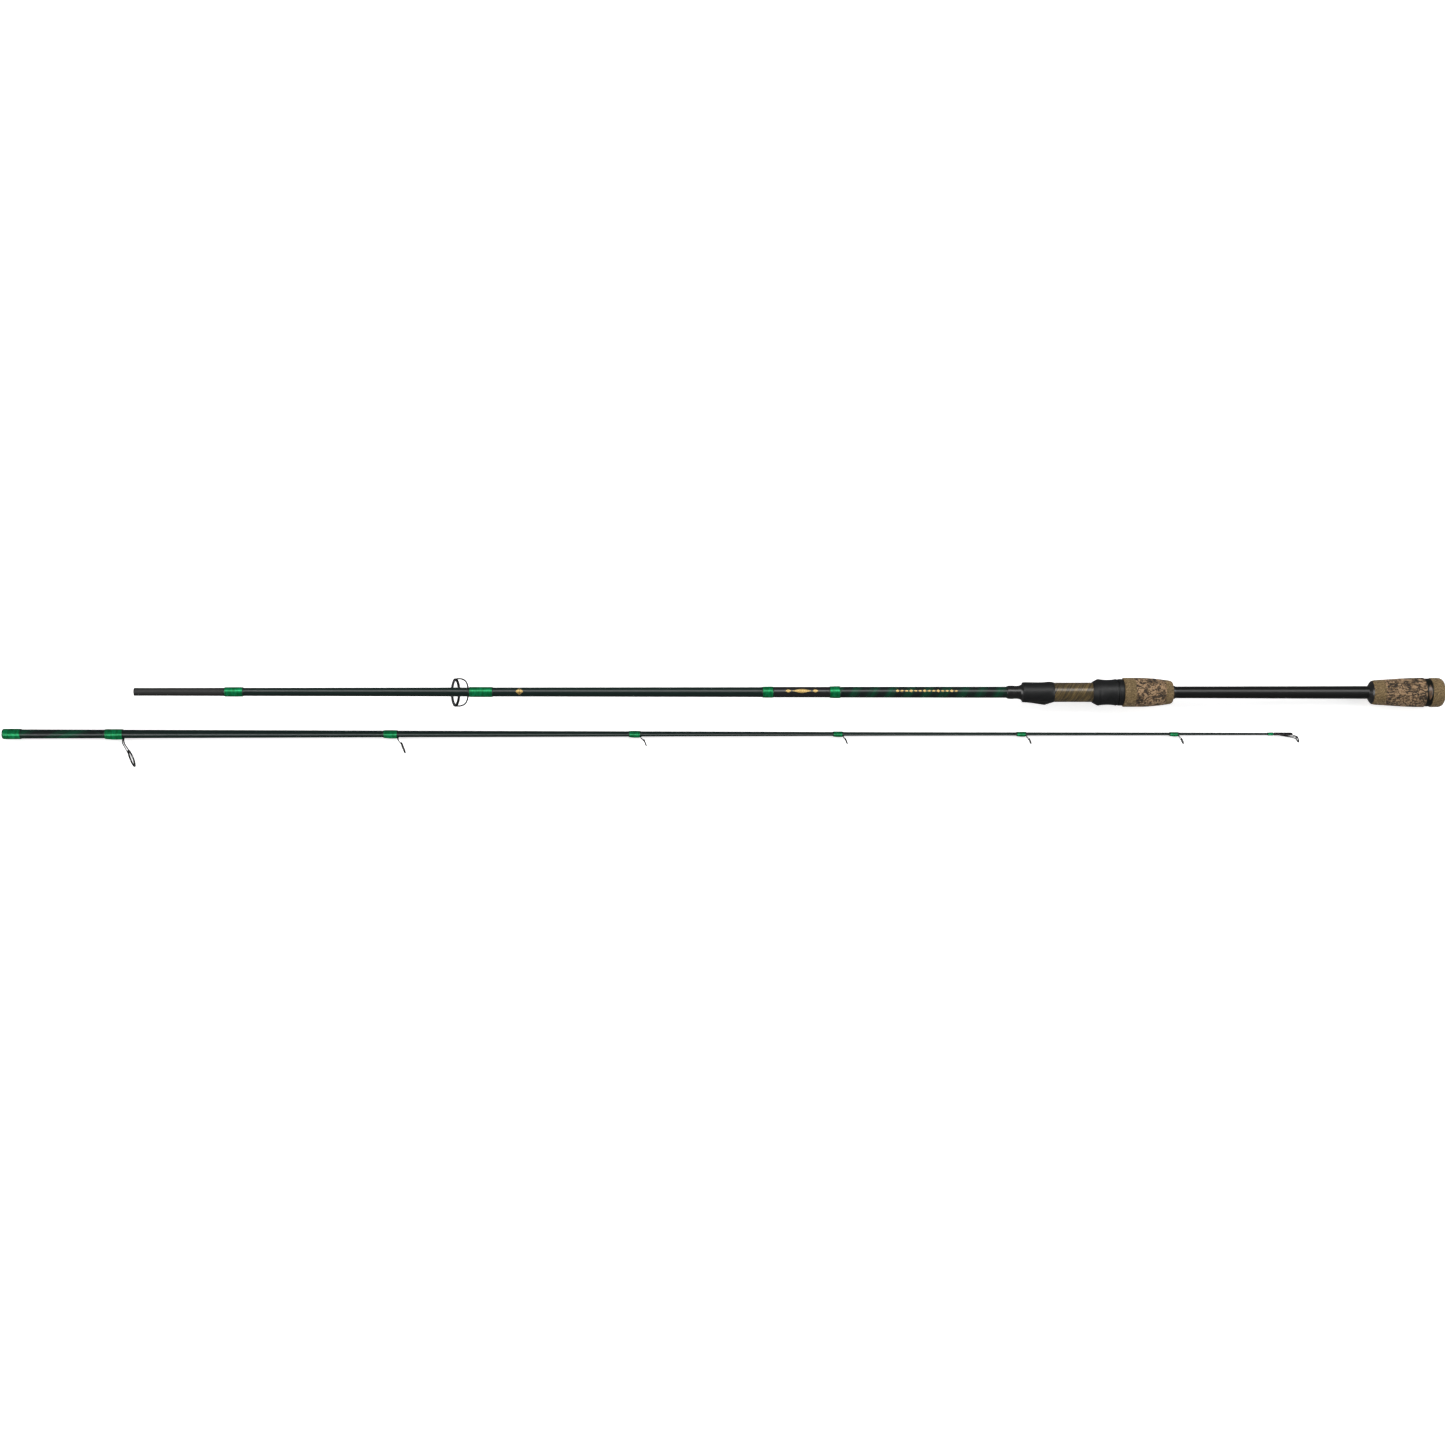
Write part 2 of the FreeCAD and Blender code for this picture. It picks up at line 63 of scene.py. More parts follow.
MM = 0.001
TAU = 2 * math.pi
RECORD = frame["record"]
MOUNTS = {mount["name"]: mount for mount in RECORD["mounts"]}
JOINTS = {joint["name"]: joint for joint in frame["joints"]}
BODY_OF = {node: body for body, nodes in RECORD["behaviour"]["bodies"].items() for node in nodes}
SLOT_OF = {part["node"]: part["material_slot"] for part in RECORD["subparts"]}


# -------- camera and lights

CAMERA_HEIGHT = 2.063
FRAMED_HEIGHT = 0.030
FRAMED_WIDTH = 1.2792
SENSOR = 36.0
ROD_MIDDLE = (0, 0, 0.02)


def new_object(name, data):
    made = bpy.data.objects.new(name, data)
    bpy.context.scene.collection.objects.link(made)
    return made


def add_camera():
    """Straight above the rod, with FRAMED_WIDTH across the picture at FRAMED_HEIGHT."""
    data = bpy.data.cameras.new("camera")
    data.sensor_width = SENSOR
    data.lens = SENSOR * (CAMERA_HEIGHT - FRAMED_HEIGHT) / FRAMED_WIDTH
    data.clip_end = 50.0
    camera = new_object("camera", data)
    camera.location = (0, 0, CAMERA_HEIGHT)
    bpy.context.scene.camera = camera


def add_area_light(name, location, target, size, power):
    data = bpy.data.lights.new(name, "AREA")
    data.shape = "RECTANGLE"
    data.size = size[0]
    data.size_y = size[1]
    data.energy = power
    light = new_object(name, data)
    light.location = location
    aim = Vector(target) - Vector(location)
    light.rotation_euler = aim.to_track_quat("-Z", "Y").to_euler()
    return light


def add_lights():
    """Boxes beyond both ends light the floor and the rod, and a strip draws the long highlight."""
    for hand in (-1, 1):
        add_area_light("end_box", (hand * 3.3, 0, 1.9), (0, 0, 0), size=(2.2, 3.0), power=72)
    add_area_light("back_strip", (0, 1.35, 2.35), ROD_MIDDLE, size=(4.6, 1.25), power=66)
    world = bpy.data.worlds.new("studio")
    world.use_nodes = True
    background = world.node_tree.nodes["Background"]
    background.inputs["Color"].default_value = (1.0, 1.0, 1.0, 1.0)
    background.inputs["Strength"].default_value = 0.12
    bpy.context.scene.world = world
    bpy.context.scene.view_settings.view_transform = "Standard"


# -------- section frames

BUTT_LENGTH = 1160.4


def placed(origin, *axes):
    return Matrix.Translation(origin) @ Matrix(axes).transposed().to_4x4()


def butt_matrix():
    """From the end of the male ferrule, along the axis to the flat face of the end button."""
    end = MOUNTS["butt_end"]
    x_axis = Vector(end["axis"]).normalized()
    y_axis = Vector((0, 1, 0))
    origin = Vector(end["pos_m"]) - x_axis * BUTT_LENGTH * MM
    return placed(origin, x_axis, y_axis, x_axis.cross(y_axis))


def tip_matrix():
    """From the mouth of the socket towards the tip-top."""
    twist = JOINTS["tip_twist"]
    origin = Vector(twist["pos_m"])
    x_axis = -Vector(twist["axis"]).normalized()
    to_ring = Vector(MOUNTS["guide_1_eye"]["pos_m"]) - origin
    z_axis = -(to_ring - x_axis * to_ring.dot(x_axis)).normalized()
    return placed(origin, x_axis, z_axis.cross(x_axis), z_axis)


PLACE = {"butt": butt_matrix(), "tip": tip_matrix()}
TIP_BODIES = ("tip_section", "tip_socket")


def section_of(node):
    return "tip" if BODY_OF[node] in TIP_BODIES else "butt"


def extent(node):
    """Start and end of a CAD node along its section, in millimetres."""
    back = PLACE[section_of(node)].inverted()
    along = [(back @ vertex.co).x / MM for vertex in frame["nodes"][node].data.vertices]
    return min(along), max(along)


def ring_frame(name, section):
    """Centre matrix in the section's frame, with x along the ring's axis, and the bore radius."""
    mount = MOUNTS[name + "_eye"]
    back = PLACE[section].inverted()
    centre = (back @ Vector(mount["pos_m"])) / MM
    x_axis = (back.to_3x3() @ Vector(mount["axis"])).normalized()
    y_axis = Vector((0, 1, 0))
    return placed(centre, x_axis, y_axis, x_axis.cross(y_axis).normalized()), mount["dims"]["r_mm"]


# -------- mesh helpers


def around(x, r, angle):
    return Vector((x, r * math.sin(angle), r * math.cos(angle)))


def shell(rings, segments=96, loop=False):
    """Skin a row of rings about x. A ring is (x, r) or a function of the angle that returns it."""
    vertices = []
    rows = []
    for ring in rings:
        if not callable(ring) and ring[1] == 0:
            rows.append([len(vertices)])
            vertices.append(Vector((ring[0], 0, 0)))
            continue
        row = []
        for step in range(segments):
            angle = TAU * step / segments
            x, r = ring(angle) if callable(ring) else ring
            row.append(len(vertices))
            vertices.append(around(x, r, angle))
        rows.append(row)
    faces = []
    pairs = list(zip(rows, rows[1:]))
    if loop:
        pairs.append((rows[-1], rows[0]))
    for near, far in pairs:
        for step in range(segments):
            after = (step + 1) % segments
            if len(near) == 1:
                faces.append((near[0], far[step], far[after]))
            elif len(far) == 1:
                faces.append((near[after], near[step], far[0]))
            else:
                faces.append((near[after], near[step], far[step], far[after]))
    return vertices, faces


def moved(mesh, matrix):
    vertices, faces = mesh
    return [matrix @ vertex for vertex in vertices], faces


def joined(meshes):
    vertices = []
    faces = []
    for more_vertices, more_faces in meshes:
        base = len(vertices)
        vertices.extend(more_vertices)
        faces.extend(tuple(index + base for index in face) for face in more_faces)
    return vertices, faces


def softened(outline, steps=5):
    """Round each corner (x, r, radius) of an open outline. A corner without a radius stays."""
    result = []
    for index, corner in enumerate(outline):
        here = Vector(corner[:2])
        radius = corner[2] if len(corner) > 2 else 0
        if radius == 0 or index in (0, len(outline) - 1):
            result.append(tuple(here))
            continue
        before = Vector(outline[index - 1][:2]) - here
        after = Vector(outline[index + 1][:2]) - here
        reach = min(radius, 0.49 * before.length, 0.49 * after.length)
        start = here + before.normalized() * reach
        end = here + after.normalized() * reach
        for step in range(steps + 1):
            t = step / steps
            result.append(tuple(start * (1 - t) ** 2 + here * 2 * t * (1 - t) + end * t ** 2))
    return result


def smooth_outline(points, steps=6):
    """A Catmull-Rom curve through (x, r) points."""
    knots = [Vector(point) for point in points]
    knots = [knots[0] * 2 - knots[1]] + knots + [knots[-1] * 2 - knots[-2]]
    result = []
    for a, b, c, d in zip(knots, knots[1:], knots[2:], knots[3:]):
        for step in range(steps):
            t = step / steps
            point = 0.5 * (2 * b + (c - a) * t + (2 * a - 5 * b + 4 * c - d) * t ** 2
                           + (3 * b - a - 3 * c + d) * t ** 3)
            result.append(tuple(point))
    result.append(tuple(knots[-2]))
    return result


def bezier(a, b, c, d, steps):
    points = []
    for step in range(steps + 1):
        t = step / steps
        points.append(a * (1 - t) ** 3 + b * 3 * t * (1 - t) ** 2 + c * 3 * t ** 2 * (1 - t) + d * t ** 3)
    return points


def swept(points, radii, segments=20, flat=1.0):
    """A round bar along points, with its ends closed by a cone. flat squeezes it across its path."""
    vertices = []
    faces = []
    side = Vector((0, 1, 0))
    for index, point in enumerate(points):
        ahead = points[min(index + 1, len(points) - 1)] - points[max(index - 1, 0)]
        ahead.normalize()
        up = ahead.cross(side).normalized()
        side = up.cross(ahead).normalized()
        for step in range(segments):
            angle = TAU * step / segments
            across = side * math.cos(angle) + up * math.sin(angle) * flat
            vertices.append(point + across * radii[index])
    for index in range(len(points) - 1):
        for step in range(segments):
            after = (step + 1) % segments
            a = index * segments
            b = a + segments
            faces.append((a + step, a + after, b + after, b + step))
    first = len(vertices)
    vertices.append(points[0] - (points[1] - points[0]).normalized() * radii[0] * 0.5)
    vertices.append(points[-1] + (points[-1] - points[-2]).normalized() * radii[-1] * 0.5)
    last_row = (len(points) - 1) * segments
    for step in range(segments):
        after = (step + 1) % segments
        faces.append((first, after, step))
        faces.append((first + 1, last_row + step, last_row + after))
    return vertices, faces


def shade_smooth(data, sharp):
    """Smooth shading, broken at edges over sharp degrees."""
    data.polygons.foreach_set("use_smooth", [True] * len(data.polygons))
    data.set_sharp_from_angle(angle=math.radians(sharp))


def add_piece(name, mesh, section, body, finishes, zone=None, replaces=(), slot=None, sharp=35):
    """Make an object from local geometry in millimetres. zone(x) picks one of the finishes."""
    vertices, faces = mesh
    place = PLACE[section]
    data = bpy.data.meshes.new(name)
    data.from_pydata([place @ (vertex * MM) for vertex in vertices], [], faces)
    for finish in finishes:
        data.materials.append(finish)
    if zone:
        for polygon in data.polygons:
            middle = sum((vertices[index].x for index in polygon.vertices), 0.0) / len(polygon.vertices)
            polygon.material_index = zone(middle)
    shade_smooth(data, sharp)
    data.update()
    piece = new_object(name, data)
    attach(piece, body)
    if replaces:
        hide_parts(*replaces)
    slot or SLOT_OF[replaces[0]]
    piece["section"] = section
    return piece


def node_piece(node, mesh, *finishes, zone=None, sharp=35):
    """The detailed piece that stands for one CAD node."""
    return add_piece(node + "_detail", mesh, section_of(node), BODY_OF[node], finishes, zone, (node,),
                     sharp=sharp)


# -------- material helpers


class Finish:
    """A node-based material, with its nodes made one call at a time."""

    def __init__(self, name, **values):
        self.material = bpy.data.materials.new(name)
        self.material.use_nodes = True
        self.tree = self.material.node_tree
        self.shader = self.tree.nodes["Principled BSDF"]
        for key, value in values.items():
            self.set(key.replace("_", " "), value)

    def fill(self, socket, value):
        """Link an output to the socket, or set the socket's own value."""
        if isinstance(value, bpy.types.NodeSocket):
            self.tree.links.new(value, socket)
        elif isinstance(value, tuple) and socket.type == "RGBA":
            socket.default_value = (*value, 1.0)
        else:
            socket.default_value = value

    def set(self, socket, value):
        self.fill(self.shader.inputs[socket], value)

    def node(self, kind, *inputs, output=0, named=None, **settings):
        """Add a node, fill its inputs in order and those in named, and return an output."""
        made = self.tree.nodes.new(kind)
        for key, value in settings.items():
            setattr(made, key, value)
        for socket, value in zip(made.inputs, inputs):
            if value is not None:
                self.fill(socket, value)
        for key, value in (named or {}).items():
            self.fill(made.inputs[key], value)
        return made.outputs[output]

    def math(self, operation, a, b=None):
        return self.node("ShaderNodeMath", a, b, operation=operation)

    def local(self, section):
        """Position in the section's frame, in millimetres: the vector, and a list of x, y and z."""
        place = PLACE[section]
        point = self.node("ShaderNodeTexCoord", output="Object")
        away = self.node("ShaderNodeVectorMath", point, tuple(place.translation), operation="SUBTRACT")
        axes = [tuple(axis / MM) for axis in place.to_3x3().col]
        parts = [self.node("ShaderNodeVectorMath", away, axis, operation="DOT_PRODUCT", output="Value")
                 for axis in axes]
        return self.vector(*parts), parts

    def point(self, section=None):
        """Position in millimetres, in the section's frame, or as it lies if there is none."""
        if section:
            return self.local(section)[0]
        return self.scaled(self.node("ShaderNodeTexCoord", output="Object"), (1 / MM,) * 3)

    def spiral(self, parts, pitch):
        """Turns about the axis plus turns along it: whole numbers along a helix of that pitch."""
        angle = self.math("ARCTAN2", parts[1], parts[2])
        return self.math("ADD", self.times(angle, 1 / TAU), self.times(parts[0], 1 / pitch))

    def strands(self, turn, parts, fineness, drift):
        """Noise drawn out along a spiral, with no seam."""
        angle = self.times(turn, TAU)
        wave = [self.times(self.math(kind, angle), fineness) for kind in ("COSINE", "SINE")]
        return self.noise(self.vector(*wave, self.times(parts[0], drift)), 1.0)

    def times(self, a, b):
        return self.math("MULTIPLY", a, b)

    def vector(self, *parts):
        return self.node("ShaderNodeCombineXYZ", *parts)

    def scaled(self, vector, factors):
        return self.node("ShaderNodeVectorMath", vector, factors, operation="MULTIPLY")

    def noise(self, vector, scale, detail=3.0, roughness=0.5):
        inputs = {"Vector": vector, "Scale": scale, "Detail": detail, "Roughness": roughness}
        return self.node("ShaderNodeTexNoise", named=inputs)

    def cells(self, vector, scale, feature="F1", output="Distance"):
        inputs = {"Vector": vector, "Scale": scale}
        return self.node("ShaderNodeTexVoronoi", named=inputs, output=output, feature=feature)

    def shade_of_cells(self, vector, scale):
        """One random value to each cell."""
        return self.node("ShaderNodeSeparateColor", self.cells(vector, scale, output="Color"))

    def ramp(self, value, *stops):
        """Colour stops of (position, colour)."""
        made = self.tree.nodes.new("ShaderNodeValToRGB")
        ramp = made.color_ramp
        while len(ramp.elements) < len(stops):
            ramp.elements.new(0.5)
        for element, (position, colour) in zip(ramp.elements, stops):
            element.position = position
            element.color = (*colour, 1.0)
        self.fill(made.inputs["Fac"], value)
        return made.outputs["Color"]

    def step(self, value, low, high):
        """0 at low, 1 at high, smooth between. It falls instead if high is the smaller."""
        inputs = {"Value": value, "From Min": low, "From Max": high}
        return self.node("ShaderNodeMapRange", named=inputs, interpolation_type="SMOOTHSTEP")

    def mix(self, factor, a, b):
        """Colour a where factor is 0, b where it is 1. Its colours follow six inputs of other kinds."""
        return self.node("ShaderNodeMix", factor, *[None] * 5, a, b, output=2, data_type="RGBA")

    def between(self, factor, low, high):
        """A number that runs from low to high as factor runs from 0 to 1."""
        return self.math("ADD", self.times(factor, high - low), low)

    def done(self, colour, height, strength, distance_mm):
        """Set the base colour and a bump from height, and return the material."""
        inputs = {"Strength": strength, "Distance": distance_mm * MM, "Height": height}
        self.set("Normal", self.node("ShaderNodeBump", named=inputs))
        self.set("Base Color", colour)
        return self.material


# -------- finishes


def gloss_blank(section):
    """Clear-coated carbon: dark green-black, with faint long fibres and the spiral of the wrap."""
    made = Finish("blank_gloss_" + section, Roughness=0.40, Specular_IOR_Level=0.2, Coat_Weight=0.75,
                  Coat_Roughness=0.25)
    point, parts = made.local(section)
    fibre = made.noise(made.scaled(point, (0.05, 1.2, 1.2)), 1.0, 4.0)
    dark = made.mix(fibre, (0.0015, 0.0070, 0.0055), (0.0030, 0.0135, 0.0105))
    band = made.math("PINGPONG", made.spiral(parts, 3.0), 0.5)
    colour = made.mix(made.times(band, 0.5), dark, (0.0045, 0.016, 0.0128))
    return made.done(colour, band, 0.12, 0.05)


def weave_blank(section):
    """Dark blank with a broad spiral of fine green filaments under clear coat."""
    made = Finish("blank_weave_" + section, Roughness=0.38, Specular_IOR_Level=0.3, Coat_Weight=0.5,
                  Coat_Roughness=0.15)
    point, parts = made.local(section)
    pitch = {"butt": 16.0, "tip": 48.0}[section]
    turn = made.spiral(parts, -pitch)
    band = made.step(made.math("PINGPONG", turn, 0.5), 0.12, 0.42)
    filament = made.step(made.strands(turn, parts, 3.2, 0.05), 0.40, 0.62)
    cross = made.step(made.strands(made.spiral(parts, pitch), parts, 3.2, 0.05), 0.52, 0.66)
    green = made.times(band, made.between(filament, 0.25, 1.0))
    green = made.math("MAXIMUM", green, made.times(cross, 0.22))
    made.set("Metallic", made.times(green, 0.55))
    colour = made.mix(green, (0.0022, 0.0068, 0.006), (0.002, 0.075, 0.034))
    return made.done(colour, filament, 0.08, 0.04)


def bare_carbon(name, colour, roughness, pitch):
    """Ground or sanded carbon with fine rings left by the grinding."""
    made = Finish(name, Roughness=roughness)
    point = made.point("butt")
    rings = made.noise(made.scaled(point, (1 / pitch, 0.02, 0.02)), 1.0, 2.0)
    cloud = made.noise(point, 0.08)
    shade = made.between(made.times(rings, cloud), 0.75, 1.6)
    return made.done(made.scaled(made.vector(*colour), shade), rings, 0.25, 0.03)


def green_thread(section):
    """Metallic green thread under clear resin."""
    made = Finish("thread_green_" + section, Metallic=0.6, Roughness=0.32, Coat_Weight=0.1,
                  Coat_Roughness=0.16)
    point, parts = made.local(section)
    turns = made.times(parts[0], 1 / THREAD_PITCH)
    wave = made.math("SINE", made.times(turns, TAU))
    thread = made.times(made.math("ADD", wave, 1.0), 0.5)
    patch = made.noise(made.scaled(point, (0.6, 0.2, 0.2)), 1.0, 2.0)
    colour = made.mix(thread, (0.0, 0.115, 0.030), (0.0, 0.21, 0.060))
    colour = made.mix(made.step(patch, 0.35, 0.8), colour, (0.002, 0.36, 0.12))
    return made.done(colour, thread, 0.3, 0.04)


def clouded(name, dark, light, bump, scale=1.0, detail=4.0, section=None, stretch=(1, 1, 1), **values):
    """One noise drifts the colour from dark to light, and lifts the surface by bump."""
    made = Finish(name, **values)
    cloud = made.noise(made.scaled(made.point(section), stretch), scale, detail)
    return made.done(made.mix(cloud, dark, light), cloud, *bump)


def winding_end_shade(section):
    """Painted shade at both sloped ends of a winding: the resin there is coloured dark green-black where the
    thread turns down into the blank.
    """
    return clouded("resin_dark_" + section, (0.002, 0.010, 0.006), (0.006, 0.022, 0.013), (0.1, 0.05),
                   1.5, 2.0, section, Roughness=0.42, Specular_IOR_Level=0.25, Coat_Weight=0.2,
                   Coat_Roughness=0.2)


def plated_metal():
    made = Finish("guide_metal", Metallic=1.0)
    point = made.point()
    cloud = made.noise(point, 0.9)
    made.set("Roughness", made.between(cloud, 0.2, 0.36))
    colour = made.mix(cloud, (0.030, 0.029, 0.030), (0.062, 0.058, 0.058))
    return made.done(colour, made.noise(point, 6.0, 2.0), 0.05, 0.03)


def gloss_black(name, colour=(0.006, 0.006, 0.0065), roughness=0.3):
    made = Finish(name, Roughness=roughness, Coat_Weight=0.5, Coat_Roughness=0.12)
    point = made.point("butt")
    lighter = tuple(value * 1.7 for value in colour)
    cloud = made.noise(point, 0.35)
    return made.done(made.mix(cloud, colour, lighter), made.noise(point, 1.2, 2.0), 0.04, 0.05)


def soft_black():
    """Soft-touch paint: matt, with a very fine grain."""
    made = Finish("soft_black", Specular_IOR_Level=0.4)
    point = made.point("butt")
    cloud = made.noise(point, 0.3)
    made.set("Roughness", made.between(cloud, 0.40, 0.52))
    colour = made.mix(cloud, (0.0045, 0.0048, 0.005), (0.009, 0.0095, 0.010))
    return made.done(colour, made.noise(point, 7.0), 0.2, 0.03)


def woven_pipe():
    """Gold-brown filaments wound on the bias among black ones, under clear coat."""
    made = Finish("pipe_weave", Roughness=0.36, Coat_Weight=0.6, Coat_Roughness=0.16)
    point, parts = made.local("butt")
    pitch = 30.0
    steep = made.spiral(parts, -pitch)
    fine = made.strands(steep, parts, 11.0, 0.16)
    broad = made.strands(steep, parts, 4.0, 0.13)
    cross = made.strands(made.spiral(parts, pitch), parts, 10.0, 0.16)
    blend = made.math("ADD", made.times(fine, 0.48), made.times(broad, 0.38))
    blend = made.math("ADD", blend, made.times(cross, 0.15))
    colour = made.ramp(blend, (0.38, (0.010, 0.008, 0.005)), (0.47, (0.040, 0.029, 0.013)),
                       (0.54, (0.125, 0.085, 0.032)), (0.66, (0.27, 0.185, 0.075)))
    made.set("Metallic", made.times(made.step(blend, 0.45, 0.6), 0.4))
    return made.done(colour, blend, 0.12, 0.06)


def speckled_cork():
    """Ground cork and rubber: small grains from olive-brown to tan."""
    made = Finish("cork_speckled", Roughness=0.78)
    point = made.point("butt")
    fine = made.noise(point, 1.2, 4.0, 0.65)
    blend = made.math("ADD", made.times(made.shade_of_cells(point, 1.3), 0.20), made.times(fine, 0.80))
    colour = made.ramp(blend, (0.30, (0.030, 0.022, 0.009)), (0.43, (0.105, 0.068, 0.025)),
                       (0.54, (0.165, 0.110, 0.043)), (0.68, (0.30, 0.20, 0.095)))
    return made.done(colour, blend, 0.5, 0.15)


def camo_cork(name, run, wide, tan_share, bend):
    """Bark and leaf litter in browns, printed on fine cork. run and wide are a leaf's size in mm."""
    made = Finish("cork_" + name, Roughness=0.75, Specular_IOR_Level=0.3)
    point = made.point("butt")
    warp = made.noise(point, 0.16, 2.0)
    spread = made.vector(warp, made.noise(point, 0.13, 2.0), warp)
    shifted = made.node("ShaderNodeVectorMath", point, made.scaled(spread, (bend,) * 3), operation="ADD")
    ground = made.ramp(made.noise(point, 0.8, 4.0, 0.65), (0.34, (0.165, 0.102, 0.052)),
                       (0.50, (0.30, 0.190, 0.102)), (0.66, (0.42, 0.275, 0.155)))
    leaf_space = made.scaled(shifted, (1 / run, 1 / wide, 1 / wide))
    leaf = made.shade_of_cells(leaf_space, 1.0)
    deep_from = 0.5 + 0.5 * tan_share
    dark_from = 0.49 + 0.09 * tan_share
    blotch = made.noise(made.scaled(shifted, (0.8, 1.1, 1.1)), 0.20, 4.0, 0.7)
    torn = made.noise(point, 1.1, 3.0, 0.7)
    rim = made.cells(leaf_space, 1.0, "DISTANCE_TO_EDGE")
    rim = made.math("SUBTRACT", rim, made.times(torn, 0.24))
    cracks = made.cells(made.scaled(shifted, (0.7, 0.5, 0.5)), 0.2, "DISTANCE_TO_EDGE")
    cracks = made.math("SUBTRACT", cracks, made.times(torn, 0.08))
    flecks = made.noise(made.scaled(shifted, (3.0 / run, 3.6 / wide, 3.6 / wide)), 0.5)
    layers = ((leaf, tan_share, tan_share + 0.04, (0.110, 0.068, 0.034)),
              (leaf, deep_from, deep_from + 0.04, (0.045, 0.030, 0.018)),
              (blotch, dark_from, dark_from + 0.05, (0.026, 0.018, 0.012)),
              (rim, 0.0, -0.10, (0.048, 0.032, 0.019)),
              (cracks, 0.02, -0.01, (0.022, 0.016, 0.011)),
              (flecks, 0.57, 0.62, (0.32, 0.210, 0.115)))
    colour = ground
    for value, low, high, shade in layers:
        colour = made.mix(made.step(value, low, high), colour, shade)
    return made.done(colour, made.noise(point, 2.2, 4.0, 0.7), 0.35, 0.1)


def brown_enamel():
    made = Finish("inlay_brown", Roughness=0.35, Coat_Weight=0.5, Coat_Roughness=0.12)
    cloud = made.noise(made.scaled(made.point("butt"), (0.8, 0.3, 0.3)), 1.0, 4.0)
    colour = made.ramp(cloud, (0.3, (0.030, 0.017, 0.009)), (0.7, (0.175, 0.098, 0.050)))
    return made.done(colour, cloud, 0.2, 0.08)


def gold_foil():
    made = Finish("gold_foil", Metallic=0.75, Roughness=0.4, Coat_Weight=0.2, Coat_Roughness=0.1)
    cloud = made.step(made.noise(made.point("butt"), 1.3), 0.35, 0.65)
    made.set("Base Color", made.mix(cloud, (0.36, 0.225, 0.06), (0.62, 0.44, 0.17)))
    return made.material


def plain_finish(name, colour, roughness, metallic=0.0):
    """Moulded or turned pieces that mostly stay hidden."""
    return clouded(name, tuple(0.75 * value for value in colour), colour, (0.2, 0.05), 1.5,
                   Roughness=roughness, Metallic=metallic)


def floor_finish():
    """A white sweep that glows a little, so the rod lies on white with hardly a shadow."""
    made = Finish("floor_pale", Roughness=0.95, Specular_IOR_Level=0.0, Emission_Strength=0.60)
    grain = made.noise(made.node("ShaderNodeTexCoord", output="Object"), 40.0)
    made.set("Base Color", made.mix(grain, (0.86, 0.86, 0.86), (0.88, 0.88, 0.88)))
    made.set("Emission Color", made.mix(grain, (0.98, 0.98, 0.98), (1.0, 1.0, 1.0)))
    return made.material


THREAD_PITCH = 0.42
BLANK = {name: gloss_blank(name) for name in PLACE}
WEAVE = {name: weave_blank(name) for name in PLACE}
THREAD = {name: green_thread(name) for name in PLACE}
# painted shade for the sloped ends of every winding
END_SHADE = {name: winding_end_shade(name) for name in PLACE}
GROUND = bare_carbon("ferrule_ground", (0.012, 0.012, 0.0114), 0.6, 0.35)
SATIN = bare_carbon("handle_satin", (0.0045, 0.0048, 0.0046), 0.30, 0.8)
METAL = plated_metal()
CERAMIC = clouded("guide_ceramic", (0.016, 0.017, 0.018), (0.035, 0.037, 0.04), (0.03, 0.02), 5.0,
                  Roughness=0.12, Coat_Weight=0.6, Coat_Roughness=0.04)
LABEL = gloss_black("label_black")
TRIM = gloss_black("trim_black", (0.005, 0.005, 0.0052), 0.32)
SOFT = soft_black()
PIPE = woven_pipe()
SPECKLED = speckled_cork()
BARK = camo_cork("bark", 5.5, 4.5, 0.70, 9.0)
SHARDS = camo_cork("shards", 5.0, 1.9, 0.62, 5.0)
RING = clouded("ring_dark", (0.007, 0.0075, 0.006), (0.018, 0.020, 0.015), (0.15, 0.03), detail=2.0,
               section="butt", stretch=(6.0, 0.05, 0.05), Metallic=0.6, Roughness=0.38)
ENAMEL = brown_enamel()
FOIL = gold_foil()
RUBBER = plain_finish("button_rubber", (0.085, 0.085, 0.088), 0.6)
BUNG = plain_finish("bung_rubber", (0.03, 0.03, 0.03), 0.7)
BUSHING = plain_finish("bushing_foam", (0.16, 0.16, 0.15), 0.8)
BARREL = plain_finish("barrel_metal", (0.09, 0.09, 0.095), 0.35, 0.8)


# -------- blanks

# outside diameters, as (distance, diameter), from the ferrule and from the socket's mouth
BUTT_TAPER = [(0, 6.9), (78, 7.18), (95, 7.2), (268, 7.9), (320, 8.05), (531, 8.8), (555, 8.95), (609, 9.1),
              (619, 9.64), (768, 9.97), (919, 10.44), (1090, 11.42), (1150, 11.6)]
TIP_TAPER = [(0, 8.35), (17, 8.3), (91, 7.87), (124.7, 7.6), (249.9, 6.75), (339.4, 6.05), (402, 5.75),
             (509.3, 5.1), (577.2, 4.66), (679.2, 4.1), (768.6, 3.4), (893.8, 2.95), (1036.8, 2.55),
             (1117.3, 2.15), (1139, 2.05), (1154, 2.0)]
TAPERS = {"butt": BUTT_TAPER, "tip": TIP_TAPER}

# the rounded mouth, as (distance, inset from the outside), and the bore, as (distance, radius)
BUTT_LIP = [(0.0, 0.45), (0.12, 0.15), (0.45, 0.0)]
TIP_LIP = [(0.0, 0.3), (0.1, 0.1), (0.4, 0.0)]
FERRULE_BORE = 2.5
SOCKET_BORE = 3.64
BUTT_BORE = [(1150, 4.3), (110.0, FERRULE_BORE), (0.3, FERRULE_BORE), (0.0, FERRULE_BORE + 0.25)]
TIP_BORE = [(1154, 0.4), (600.0, 0.6), (400.0, 1.9), (85.0, 2.95), (80.0, 3.5), (74.0, 3.5),
            (0.3, SOCKET_BORE), (0.0, SOCKET_BORE + 0.12)]
RING_SPACING = 10.0


